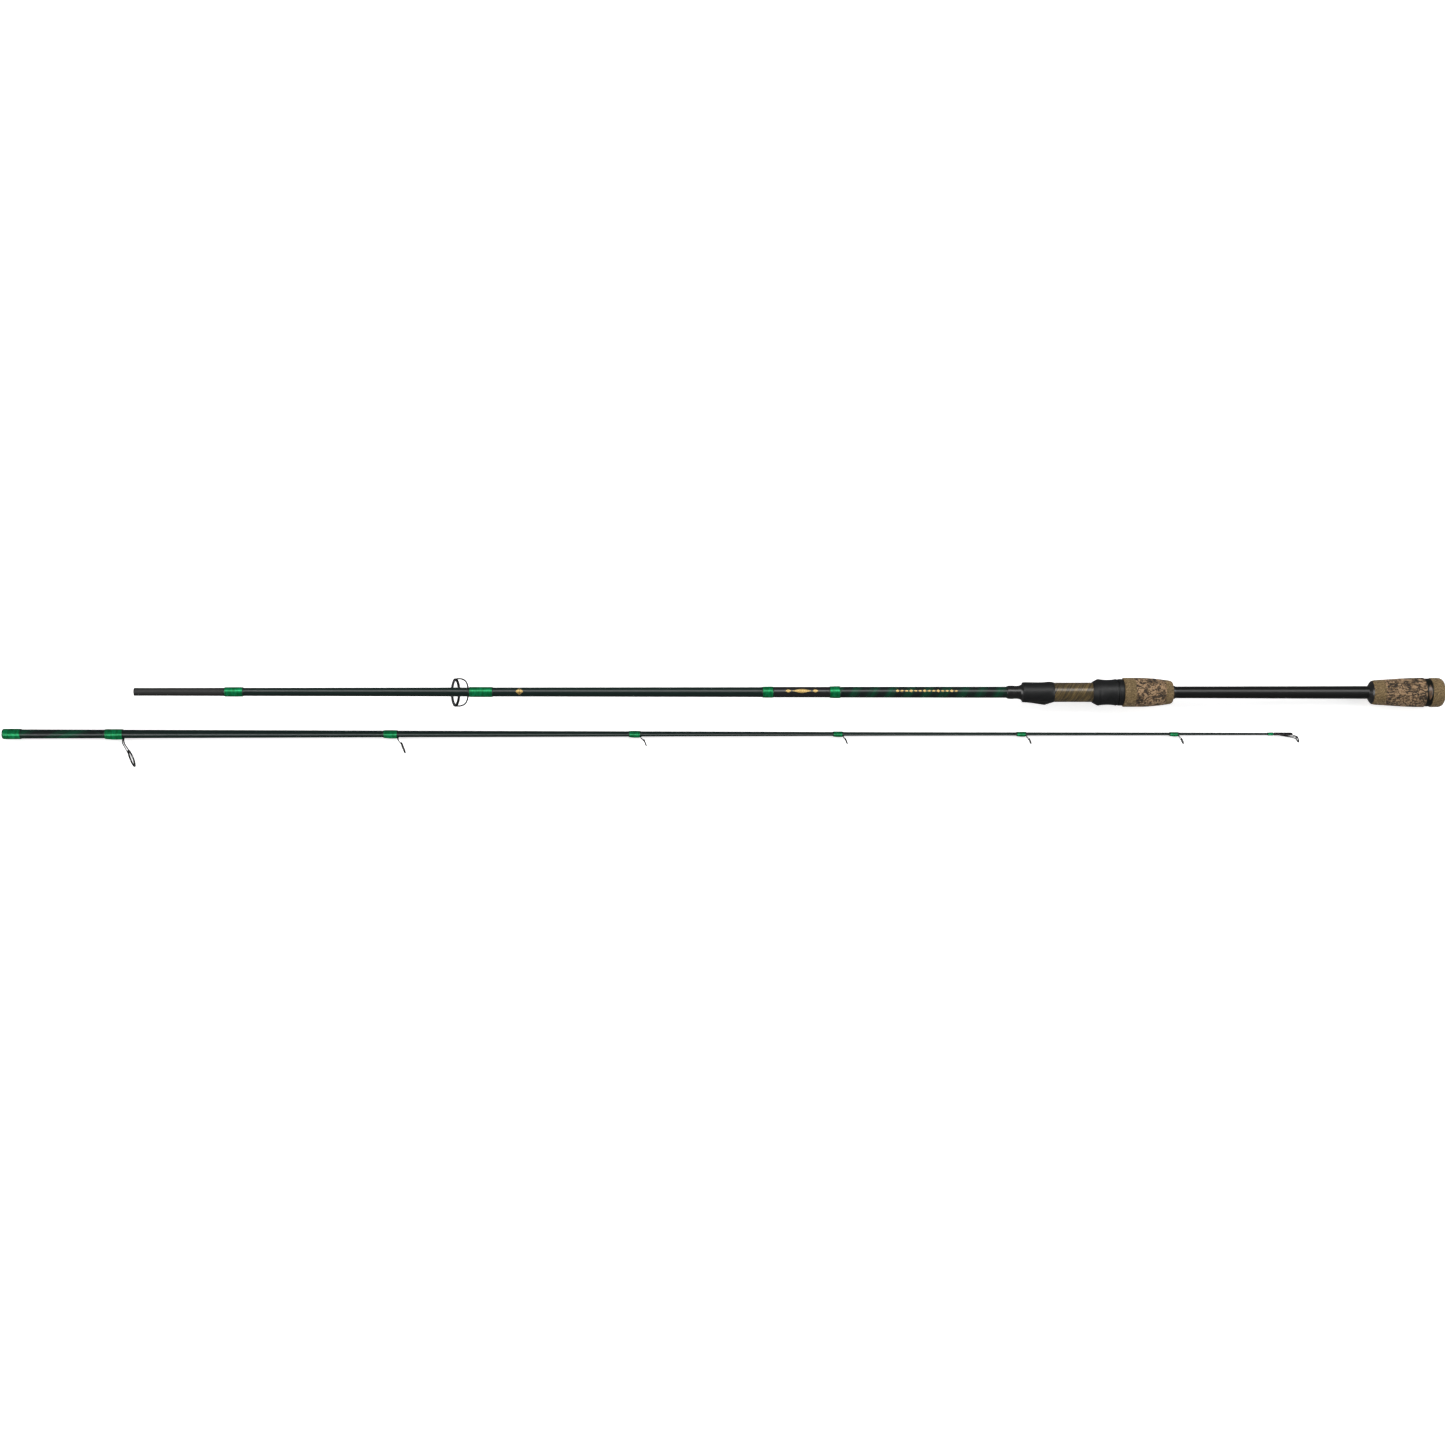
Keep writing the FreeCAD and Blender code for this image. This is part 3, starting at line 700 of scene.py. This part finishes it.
def taper_radius(taper, x):
    for (x0, d0), (x1, d1) in zip(taper, taper[1:]):
        if x <= x1:
            return 0.5 * (d0 + (d1 - d0) * (x - x0) / (x1 - x0))
    return 0.5 * taper[-1][1]


def blank_mesh(taper, lip, bore):
    """A hollow tapered tube with a rounded open end."""
    length = taper[-1][0]
    spaced = {RING_SPACING * k for k in range(1, int(length / RING_SPACING))}
    marks = sorted({x for x, _ in taper} | spaced)
    mouth = taper_radius(taper, 0.0)
    lip = [(x, mouth - inset) for x, inset in lip]
    outside = [(x, taper_radius(taper, x)) for x in marks if x > lip[-1][0]]
    return shell(lip + outside + bore, 64, loop=True)


def zones(*marks):
    """A zone function: how many of the marks lie at or before x."""
    return lambda x: sum(x >= mark for mark in marks)


BUTT_ZONES = zones(extent("ferrule_winding")[0], extent("trim_winding_rear")[0] + 5,
                   extent("winding_check")[0])
TIP_ZONES = zones(extent("guide_1_winding")[0])

node_piece("butt_blank", blank_mesh(BUTT_TAPER, BUTT_LIP, BUTT_BORE), GROUND, BLANK["butt"], WEAVE["butt"],
           SATIN, zone=BUTT_ZONES)
node_piece("tip_blank", blank_mesh(TIP_TAPER, TIP_LIP, TIP_BORE), WEAVE["tip"], BLANK["tip"], zone=TIP_ZONES)


# -------- windings

TUCK = 0.3
SWELL = 0.06


def winding_piece(node, thickness, foot=0.0, foot_width=0.0, foot_at_end=True):
    """Thread under resin, its ends tucked into the blank. A guide foot lifts it in a narrow ridge."""
    section = section_of(node)
    taper = TAPERS[section]
    start, end = extent(node)
    length = end - start
    edge = min(1.3, 0.12 * length + 0.3)
    count = max(24, int(length * 2.2))

    def ring(x, share):
        base = taper_radius(taper, x)
        run = (x - start) / length
        swell = SWELL * math.sin(math.pi * run)
        under_foot = run if foot_at_end else 1 - run
        height = foot * min(1.0, 0.25 + under_foot * 1.6)

        def at(angle):
            ridge = 0.0
            if foot:
                away = abs((angle % TAU) - math.pi)
                spread = 0.75 * foot_width / (base + foot)
                ridge = height * math.exp(-(away / spread) ** 2)
            return x, base + 0.02 + (thickness + swell + ridge) * share
        return at

    rings = [(start + TUCK, taper_radius(taper, start) - TUCK), ring(start, 0.0)]
    for step in range(1, count):
        x = start + length * step / count
        share = min(1.0, (x - start) / edge, (end - x) / edge)
        rings.append(ring(x, math.sin(0.5 * math.pi * share) ** 0.8))
    rings += [ring(end, 0.0), (end - TUCK, taper_radius(taper, end) - TUCK)]
    # the ends of the winding within this reach get the dark finish, which is painted shade
    dark = 0.8 * edge

    def zone(x):
        return 1 if x < start + dark or x > end - dark else 0

    node_piece(node, shell(rings, loop=True), THREAD[section], END_SHADE[section], zone=zone)


for node, thickness in (("ferrule_winding", 0.55), ("trim_winding_front", 0.46), ("trim_winding_rear", 0.55),
                        ("socket_winding", 0.5), ("tip_top_winding", 0.3)):
    winding_piece(node, thickness)


# -------- guides


def guide_sizes(bore):
    """Sizes of a guide's parts. bore, ceramic and hoop add up to half the outside diameter."""
    diameter = (bore + 0.7) / 0.43
    hoop = 0.35 + 0.035 * diameter
    return {"diameter": diameter,
            "side": 0.5 * (diameter - hoop),
            "hoop": hoop,
            "seat": bore + hoop,
            "width": 0.5 + 0.045 * diameter,
            "leg": 0.5 * (0.35 + 0.045 * diameter),
            "foot_thick": 0.4 + 0.02 * diameter,
            "foot_wide": 0.5 + 0.09 * diameter}


def rounded_band(inner, outer, half, radius):
    """Section of a hoop about x: a rectangle with round corners on its outer edge."""
    corners = [(-half, inner), (-half, outer, radius), (half, outer, radius), (half, inner)]
    return softened(corners, 6)


def ceramic_section(bore, seat, half):
    """Section of a ceramic ring: round shoulders and a domed bore."""
    lip = 1.3 * half
    shoulder = seat - 0.2 * (seat - bore)
    dome = []
    for step in range(13):
        angle = math.pi * step / 12
        dome.append((lip * math.cos(angle), bore + 0.5 * (seat - bore) * (1 - math.sin(angle))))
    return [(-half, seat), (half, seat), (lip, shoulder)] + dome + [(-lip, shoulder)]


def ring_meshes(name, section, segments=96):
    """The hoop and the ceramic, the ring's matrix, the guide's sizes, and the way off the blank."""
    place, bore = ring_frame(name, section)
    size = guide_sizes(bore)
    half = 0.5 * size["width"]
    band = rounded_band(size["seat"], 0.5 * size["diameter"], half, 0.45 * size["hoop"])
    dome = ceramic_section(bore, size["seat"], half)
    hoop, ceramic = (moved(shell(outline, segments, loop=True), place) for outline in (band, dome))
    away = (place.to_3x3() @ Vector((0, 0, 1))).normalized()
    if away.z > 0:
        away = -away
    return hoop, ceramic, place, size, away


def leg_points(root, end, away, diameter, towards_tip):
    """A leg that bows out sideways from the foot, then runs along the hoop's side."""
    height = abs(end.z - root.z)
    if towards_tip > 0:
        bow = Vector((-0.17 * diameter, math.copysign(0.25 * diameter, end.y), -0.22 * height))
    else:
        bow = Vector((0, math.copysign(0.5 * diameter, end.y), -0.14 * height))
    return bezier(root, root + bow, end - away * 0.55 * height, end, 28)


def guide_pieces(name, section, towards_tip):
    """A guide's frame (hoop, two legs and a foot), its ceramic ring and the winding over its foot."""
    hoop, ceramic, place, size, away = ring_meshes(name, section)
    diameter = size["diameter"]
    thick = size["foot_thick"]
    start, end = extent(name + "_winding")
    near, far = (start, end) if towards_tip > 0 else (end, start)
    neck = far + towards_tip * 0.03 * diameter
    tail = near + towards_tip * 1.5
    depth = -(taper_radius(TAPERS[section], neck) + 0.55 * thick)
    parts = [hoop]
    for hand in (-1, 1):
        tip = place @ Vector((0, hand * size["side"], 0))
        root = Vector((neck, math.copysign(0.16 * size["foot_wide"], tip.y), depth))
        points = leg_points(root, tip, away, diameter, towards_tip)
        count = len(points) - 1
        radii = [size["leg"] * (1.25 - 0.5 * k / count) for k in range(count + 1)]
        parts.append(swept(points, radii, flat=0.75))
    run = 24
    reach = neck + towards_tip * 0.1 * size["leg"] - tail
    foot = [Vector((tail + reach * k / run, 0, depth)) for k in range(run + 1)]
    widths = [0.5 * size["foot_wide"] * min(1.0, 0.25 + 1.5 * k / run) for k in range(run + 1)]
    parts.append(swept(foot, widths, 24, flat=thick / size["foot_wide"]))
    node_piece(name + "_frame", joined(parts), METAL, sharp=60)
    node_piece(name + "_ring", ceramic, CERAMIC, sharp=60)
    winding_piece(name + "_winding", 0.42, thick + 0.05, size["foot_wide"], towards_tip > 0)


guide_pieces("butt_guide", "butt", -1)
for number in range(1, 7):
    guide_pieces("guide_%d" % number, "tip", 1)

TUBE_LENGTH = 16.5
TUBE_R = 1.32
TUBE_DEPTH = 12.0
TIP_LEG_R = 0.34
TIP_BRACE_R = 0.42


def tip_top_pieces():
    """The tube that caps the tip, its ring and the legs that brace it."""
    hoop, ceramic, place, size, away = ring_meshes("tip_top", "tip", 72)
    start = extent("tip_top_frame")[0]
    end = start + TUBE_LENGTH
    hollow = [(start + TUBE_DEPTH, 0), (start + TUBE_DEPTH, 0.95), (start, 1.05)]
    sleeve = [(start, 1.05), (start, TUBE_R, 0.2), (end - 1.2, TUBE_R, 0.6), (end, 0.62 * TUBE_R, 0.5),
              (end + 0.1, 0.0)]
    parts = [shell(hollow + softened(sleeve), 48), hoop]
    side = size["side"]
    for hand in (-1, 1):
        root = Vector((start + 5.0, hand * 0.75, -0.75 * TUBE_R))
        target = place @ Vector((0, hand * side, 0))
        points = bezier(root, root + Vector((4.5, hand * 0.6, -1.0)), target - away * 2.4, target, 20)
        parts.append(swept(points, [TIP_LEG_R] * len(points), 16))
    crown = place @ Vector((0, 0, side))
    if crown.z < place.translation.z:
        crown = place @ Vector((0, 0, -side))
    root = Vector((end - 2.5, 0, -0.3 * TUBE_R))
    points = bezier(root, root + Vector((1.5, 0, 0)), crown - Vector((1.0, 0, 0)), crown, 12)
    parts.append(swept(points, [TIP_BRACE_R] * len(points), 16))
    node_piece("tip_top_frame", joined(parts), METAL, sharp=60)
    node_piece("tip_top_ring", ceramic, CERAMIC, sharp=60)


tip_top_pieces()


# -------- lathed pieces of the butt section


def lathed(node, outline, finish, inner):
    """Turn an outline of (distance from the node's start, radius, corner) about the axis."""
    start = extent(node)[0]
    rings = [(start + x, r) for x, r in softened(outline)]
    rings += [(rings[-1][0], inner), (rings[0][0], inner)]
    node_piece(node, shell(rings, 128, loop=True), finish)


def length_of(node):
    start, end = extent(node)
    return end - start


LABEL_R = 4.73
PIPE_R = 8.65
RING_R = 12.5
CHECK_OUTLINE = [(0, 5.15), (0.5, 5.55), (2.2, 5.9), (4.9, 5.98), (7.8, 5.75), (10.6, 5.95), (12.6, 6.7),
                 (13.8, 7.9)]
CONE_OUTLINE = [(0, 5.72), (0.3, 6.0), (1.1, 7.4), (2.2, 9.1), (3.0, 10.0), (3.4, 10.35)]
lathed("label_sleeve", [(0, LABEL_R), (length_of("label_sleeve"), LABEL_R)], LABEL, 4.4)
lathed("winding_check", smooth_outline(CHECK_OUTLINE), TRIM, 4.9)
lathed("seat_pipe", [(0, 8.6), (0, PIPE_R), (length_of("seat_pipe"), PIPE_R)], PIPE, 7.3)
lathed("seat_collar", [(0, 10.9), (0.9, 10.9, 0.2), (0.9, 11.82, 0.35), (4.9, 11.82, 0.25), (4.9, 11.3, 0.2),
                       (5.5, 11.3)], SOFT, 8.62)
lathed("grip_check", [(0, 5.5), (0, 5.85, 0.3), (2.3, 5.85, 0.5), (2.3, 5.4)], TRIM, 5.2)
lathed("butt_cone", smooth_outline(CONE_OUTLINE), TRIM, 5.7)
lathed("butt_ring", [(0, 12.0), (0, RING_R, 0.3), (length_of("butt_ring"), RING_R, 0.3),
                     (length_of("butt_ring"), 12.0)], RING, 5.8)

GRIP_BORE = 5.2
SEAM_DEPTH = 0.12
SEAM_WIDTH = 0.25


def zoned_grip(node, outline, seams, middle):
    """A grip with speckled ends and a camouflage middle, split by fine glue lines at the seams."""
    start = extent(node)[0]
    rings = []
    for x, r in smooth_outline(outline):
        for seam in seams:
            r -= SEAM_DEPTH * math.exp(-((x - seam) / SEAM_WIDTH) ** 2)
        rings.append((start + x, r))
    rings += [(rings[-1][0], GRIP_BORE), (rings[0][0], GRIP_BORE)]
    in_front = zones(*(start + seam for seam in seams))
    node_piece(node, shell(rings, 144, loop=True), SPECKLED, middle, zone=lambda x: in_front(x) % 2)


FORE_GRIP = [(0, 12.4), (0.15, 12.8), (0.8, 12.93), (5.0, 12.96), (9.6, 12.96), (9.9, 12.96), (10.2, 12.96),
             (14.0, 12.95), (18.5, 12.85), (23.0, 12.62), (28.5, 12.2), (33.5, 11.65), (36.7, 11.2),
             (37.0, 11.15), (37.3, 11.1), (40.0, 10.75), (42.0, 10.35), (43.3, 9.8), (43.9, 9.1), (44.1, 8.4)]
BUTT_GRIP = [(0, 10.4), (0.5, 10.6), (2.5, 10.95), (6.0, 11.22), (10.1, 11.48), (10.4, 11.5), (10.7, 11.52),
             (16.0, 11.85), (22.0, 12.25), (28.0, 12.62), (34.0, 12.88), (40.0, 13.05), (45.6, 13.1),
             (46.5, 12.95), (46.8, 12.5)]
CAP_OUTLINE = [(0, 12.5), (0.2, 12.9), (0.9, 13.04), (4.0, 13.05), (6.8, 13.03), (8.6, 12.8), (10.1, 12.1),
               (11.2, 10.9), (11.9, 9.3), (12.2, 7.6), (12.25, 5.0)]
zoned_grip("fore_grip", FORE_GRIP, (9.9, 37.0), BARK)
zoned_grip("butt_grip", BUTT_GRIP, (10.4,), SHARDS)
lathed("butt_cap", smooth_outline(CAP_OUTLINE), SPECKLED, 4.3)


def end_button():
    start, end = extent("butt_button")
    seat = extent("butt_cap")[1]
    outline = softened([(start, 4.0), (seat - 0.2, 4.2), (seat - 0.2, 4.6), (seat + 0.2, 4.75, 0.3),
                        (end - 0.5, 4.75, 0.8), (end, 3.4, 0.4), (end, 2.6, 0.2), (end - 0.35, 2.3, 0.2),
                        (end - 0.45, 1.2)])
    node_piece("butt_button", shell([(start, 0)] + outline + [(end - 0.5, 0)], 96), RUBBER)


end_button()


# -------- reel seat

POCKET_WIDE = 6.6
POCKET_LOW = -13.9
POCKET_HIGH = -6.0
THREAD_LEAD = 1.5
HOOD_BORE = 8.66
NUT_SEAT = 9.98


def smooth_max(a, b, width):
    """The larger of a and b, blended where they differ by less than width."""
    h = max(0.0, min(1.0, 0.5 + 0.5 * (a - b) / width))
    return b + (a - b) * h + width * h * (1 - h)


def side_radius(angle, corners):
    """Distance from the axis to a polygon's outline, seen at that angle. Corners are (y, z)."""
    direction = Vector((math.sin(angle), math.cos(angle)))
    best = 0.0
    for (y0, z0), (y1, z1) in zip(corners, corners[1:] + corners[:1]):
        edge = Vector((y1 - y0, z1 - z0))
        start = Vector((y0, z0))
        cross = direction.x * edge.y - direction.y * edge.x
        if abs(cross) < 1e-9:
            continue
        distance = (start.x * edge.y - start.y * edge.x) / cross
        share = (start.x * direction.y - start.y * direction.x) / cross
        if distance > 0 and -1e-6 <= share <= 1 + 1e-6:
            best = max(best, distance)
    return best


def lobed(x, r, corners, blend, scale=1.0):
    """A round ring at x, drawn out to a polygon where that is wider."""
    return lambda angle: (x, smooth_max(r, scale * side_radius(angle, corners), blend))


def threaded(x, radius):
    """A ring at x with a radius by the phase of the thread, from 0 to 1 in one turn."""
    return lambda angle: (x, radius((x / THREAD_LEAD - angle / TAU) % 1.0))


def cut_box(piece, low, high):
    """Cut a box, given in the butt section's frame, out of a piece, and keep the result as its mesh."""
    corners = [Vector((x, y, z)) for x, y, z in itertools.product(*zip(low, high))]
    faces = [(0, 1, 3, 2), (4, 6, 7, 5), (0, 4, 5, 1), (2, 3, 7, 6), (0, 2, 6, 4), (1, 5, 7, 3)]
    data = bpy.data.meshes.new("cutter")
    data.from_pydata([PLACE["butt"] @ (corner * MM) for corner in corners], [], faces)
    cutter = new_object("cutter", data)
    modifier = piece.modifiers.new("pocket", "BOOLEAN")
    modifier.operation = "DIFFERENCE"
    modifier.solver = "EXACT"
    modifier.object = cutter
    bpy.context.view_layer.update()
    result = bpy.data.meshes.new_from_object(piece.evaluated_get(bpy.context.evaluated_depsgraph_get()))
    piece.modifiers.clear()
    piece.data = result
    shade_smooth(result, 32)
    bpy.data.objects.remove(cutter)


def fixed_hood_piece():
    """A soft round body with a faceted lobe over the reel foot."""
    start, end = extent("fixed_hood")
    length = end - start
    body = smooth_outline([(0, 8.2), (0.25, 8.75), (1.2, 8.98), (6, 9.02), (11, 8.9), (15, 8.85), (19, 9.0),
                           (22, 9.3), (23.8, 9.45), (25.6, 9.35), (27.0, 9.1), (length, 8.75)], 4)
    lobes = [(0.0, [(-4.2, 7.0), (-8.4, -0.5), (-7.4, -4.2), (-4.6, -7.8), (4.6, -7.8), (7.4, -4.2),
                    (8.0, 0.0)]),
             (0.73, [(-4.9, 7.4), (-11.25, -1.5), (-10.7, -8.5), (-7.7, -15.1), (7.7, -15.1), (9.0, -8.5),
                     (8.3, 0.0)]),
             (1.0, [(-4.4, 7.0), (-8.9, -1.5), (-9.0, -8.5), (-7.7, -15.1), (7.7, -15.1), (8.8, -8.5),
                    (8.1, 0.0)])]

    def lobe_at(share):
        for (t0, near), (t1, far) in zip(lobes, lobes[1:]):
            if share <= t1:
                blend = (share - t0) / (t1 - t0)
                return [(y0 + (y1 - y0) * blend, z0 + (z1 - z0) * blend)
                        for (y0, z0), (y1, z1) in zip(near, far)]
        return lobes[-1][1]

    rings = [lobed(start + x, r, lobe_at(min(1.0, x / length)), 0.35) for x, r in body]
    rings += [(end, HOOD_BORE), (start + 2.0, HOOD_BORE), (start + 0.4, 6.2), (start, 6.2)]
    hood = node_piece("fixed_hood", shell(rings, 144, loop=True), SOFT)
    cut_box(hood, (start + 12.5, -POCKET_WIDE, POCKET_LOW), (end + 1, POCKET_WIDE, POCKET_HIGH))


def moving_hood_piece():
    """Sliding hood: flared lip, lobe over the reel foot, and the skirt that the nut holds."""
    start, end = extent("moving_hood")
    lip_end = extent("locking_nut")[0] - 0.08
    outline = softened([(start, 9.0), (start, 9.3, 0.3), (start + 3.8, 11.3, 0.9), (start + 4.7, 11.78, 0.4),
                        (lip_end, 11.78, 0.1), (lip_end, 9.9), (end, 9.9)])
    lobe = [(7.8, 2.0), (7.8, -13.2), (5.6, -15.2), (-5.6, -15.2), (-7.8, -13.2), (-7.8, 2.0)]
    rings = []
    for x, r in outline:
        if x > lip_end - 0.05 and r < 11.0:
            rings.append((x, r))
        else:
            rings.append(lobed(x, r, lobe, 0.5, scale=0.93 + 0.07 * min(1.0, (x - start) / 1.5)))
    rings += [(end, 8.73), (start, 8.73)]
    hood = node_piece("moving_hood", shell(rings, 144, loop=True), SOFT)
    cut_box(hood, (start - 1, -POCKET_WIDE, POCKET_LOW), (start + 4.5, POCKET_WIDE, POCKET_HIGH))


def locking_nut_piece():
    """Waisted nut with an internal thread, its socket open towards the hood."""
    start, end = extent("locking_nut")
    shoulder = start + 6.6
    waist = smooth_outline([(start, 11.5), (start + 0.2, 11.76), (start + 0.8, 11.72), (start + 3.4, 11.32),
                            (start + 8.0, 11.12), (start + 12.4, 11.32), (start + 15.2, 11.78),
                            (end - 0.3, 11.74), (end, 11.35)])
    rings_a_turn = 6
    steps = int((end - shoulder - 0.6) / THREAD_LEAD * rings_a_turn)
    bore = [threaded(end - 0.3 - step * THREAD_LEAD / rings_a_turn,
                     lambda phase: 8.68 + 0.12 * (1 - abs(2 * phase - 1))) for step in range(steps)]
    inside = [(end, 9.0)] + bore + [(shoulder, 8.7), (shoulder, NUT_SEAT), (start, NUT_SEAT)]
    node_piece("locking_nut", shell(waist + inside, 128, loop=True), SOFT)


def barrel_piece():
    """Threaded end of the pipe, with a true helical thread."""
    start, end = extent("threaded_barrel")
    crest = 8.6
    steps = int((end - start) / THREAD_LEAD * 12)
    rings = [(start, 8.3)]
    for step in range(1, steps):
        x = start + (end - start) * step / steps
        depth = 0.65 * min(1.0, x - start, end - x)
        rings.append(threaded(x, lambda phase, depth=depth:
                              crest - depth * min(1.0, max(0.0, 2.6 * abs(phase - 0.5) - 0.25))))
    rings += [(end, 8.3), (end, 7.3), (start, 7.3)]
    node_piece("threaded_barrel", shell(rings, 96, loop=True), BARREL)


fixed_hood_piece()
moving_hood_piece()
locking_nut_piece()
barrel_piece()


# -------- ornament

FOIL_LIFT = 0.04
FACING = 0.24


def plate(columns, rows, point):
    """A thin closed plate. point(layer, u, v) is a vertex: layer 0 below, 1 on top, u along x."""
    vertices = []
    for layer in (0, 1):
        for i in range(columns + 1):
            for j in range(rows + 1):
                vertices.append(point(layer, i / columns, j / rows))
    width = rows + 1
    base = width * (columns + 1)
    faces = []
    for i in range(columns):
        for j in range(rows):
            a = i * width + j
            faces.append((a, a + 1, a + width + 1, a + width))
            faces.append((base + a, base + a + width, base + a + width + 1, base + a + 1))
    border = [i * width for i in range(columns)] + [columns * width + j for j in range(rows)] \
        + [i * width + rows for i in range(columns, 0, -1)] + list(range(rows, 0, -1))
    for a, b in zip(border, border[1:] + border[:1]):
        faces.append((a, b, base + b, base + a))
    return vertices, faces


def wrapped_patch(half_width, start, end, radius, facing):
    """A thin plate that hugs the blank. half_width(t) is its width along its run, t from 0 to 1."""
    def point(layer, u, v):
        x = start + (end - start) * u
        r = radius(x) + (FOIL_LIFT if layer else -0.05)
        return around(x, r, facing + half_width(u) * (2 * v - 1) / r)

    return plate(12, 6, point)


def lozenge(x, half_length, half_width, radius, facing):
    """A spindle-shaped patch."""
    return wrapped_patch(lambda t: max(0.03, half_width * math.sin(math.pi * t) ** 1.4), x - half_length,
                         x + half_length, radius, facing)


def foil_piece(name, patches):
    add_piece(name, joined(patches), "butt", "butt_section", [FOIL], slot="inlay_brown")


def ornament():
    """Gold foil marks in place of lettering: spindles on the label, a row of dashes, a diamond."""
    def on_blank(x):
        return taper_radius(BUTT_TAPER, x)

    middle = 0.5 * sum(extent("label_sleeve"))
    spindles = ((0, 8.5, 1.9), (-12.0, 2.6, 1.5), (12.0, 2.6, 1.5))
    foil_piece("label_ornament", [lozenge(middle + offset, length, width, lambda x: LABEL_R, FACING)
                                  for offset, length, width in spindles])
    row_start = extent("trim_winding_rear")[1] + 50.0
    foil_piece("weave_ornament", [lozenge(row_start + 4.0 * index, 1.7, 0.7 if index % 3 else 1.15, on_blank,
                                          FACING) for index in range(14)])
    spot = extent("butt_guide_winding")[1] + 20.0
    foil_piece("blank_ornament", [wrapped_patch(lambda t: 0.1 + 3.2 * t, spot, spot + 3.1, on_blank, 0.12),
                                  wrapped_patch(lambda t: 3.3 - 3.2 * t, spot + 3.4, spot + 6.5, on_blank,
                                                0.12)])


def inlay_piece():
    """Curved black plate in the ring, with a raised brown leaf shape on it."""
    start, end = extent("ring_inlay")
    half_angle = math.radians(36)
    columns = 28
    rows = 144

    def leaf(u, v):
        """1 at the middle of the leaf, 0 on its outline, below 0 outside."""
        return 1 - abs(2 * u - 1) / 0.84 - abs((2 * v - 1) / 0.93) ** 2.4

    def point(layer, u, v):
        relief = 0.12 * max(0.0, min(1.0, leaf(u, v) * 6))
        r = RING_R - 0.02 + relief if layer else RING_R - 0.3
        return around(start + (end - start) * u, r, half_angle * (2 * v - 1))

    inlay = node_piece("ring_inlay", plate(columns, rows, point), ENAMEL, TRIM)
    finishes = [1] * len(inlay.data.polygons)
    for i in range(columns):
        for j in range(rows):
            if leaf((i + 0.5) / columns, (j + 0.5) / rows) > 0:
                finishes[2 * (i * rows + j) + 1] = 0
    inlay.data.polygons.foreach_set("material_index", finishes)


ornament()
inlay_piece()


# -------- pieces that keep their CAD shape

for node, finish in (("seat_bushings", BUSHING), ("ferrule_plug", BUNG)):
    materials = frame["nodes"][node].data.materials
    materials.clear()
    materials.append(finish)


# -------- light and floor

FLOOR_HALF = 40.0


def light_tip_section():
    """The tip section gets its long highlight from a strip of its own, on the other side."""
    tip_only = bpy.data.collections.new("tip_section_lit")
    not_tip = bpy.data.collections.new("tip_section_unlit")
    for piece in bpy.data.objects:
        if piece.get("section") == "tip":
            tip_only.objects.link(piece)
            not_tip.objects.link(piece)
    strip = add_area_light("front_strip", (0, -0.95, 2.4), ROD_MIDDLE, size=(4.6, 0.7), power=52)
    strip.light_linking.receiver_collection = tip_only
    bpy.data.objects["back_strip"].light_linking.receiver_collection = not_tip
    for linked in not_tip.collection_objects:
        linked.light_linking.link_state = "EXCLUDE"


def add_floor():
    corners = [(FLOOR_HALF * x, FLOOR_HALF * y, 0) for x, y in ((-1, -1), (1, -1), (1, 1), (-1, 1))]
    data = bpy.data.meshes.new("floor")
    data.from_pydata(corners, [], [(0, 1, 2, 3)])
    data.materials.append(floor_finish())
    floor = new_object("floor", data)
    floor.visible_glossy = False


add_camera()
add_lights()
light_tip_section()
add_floor()
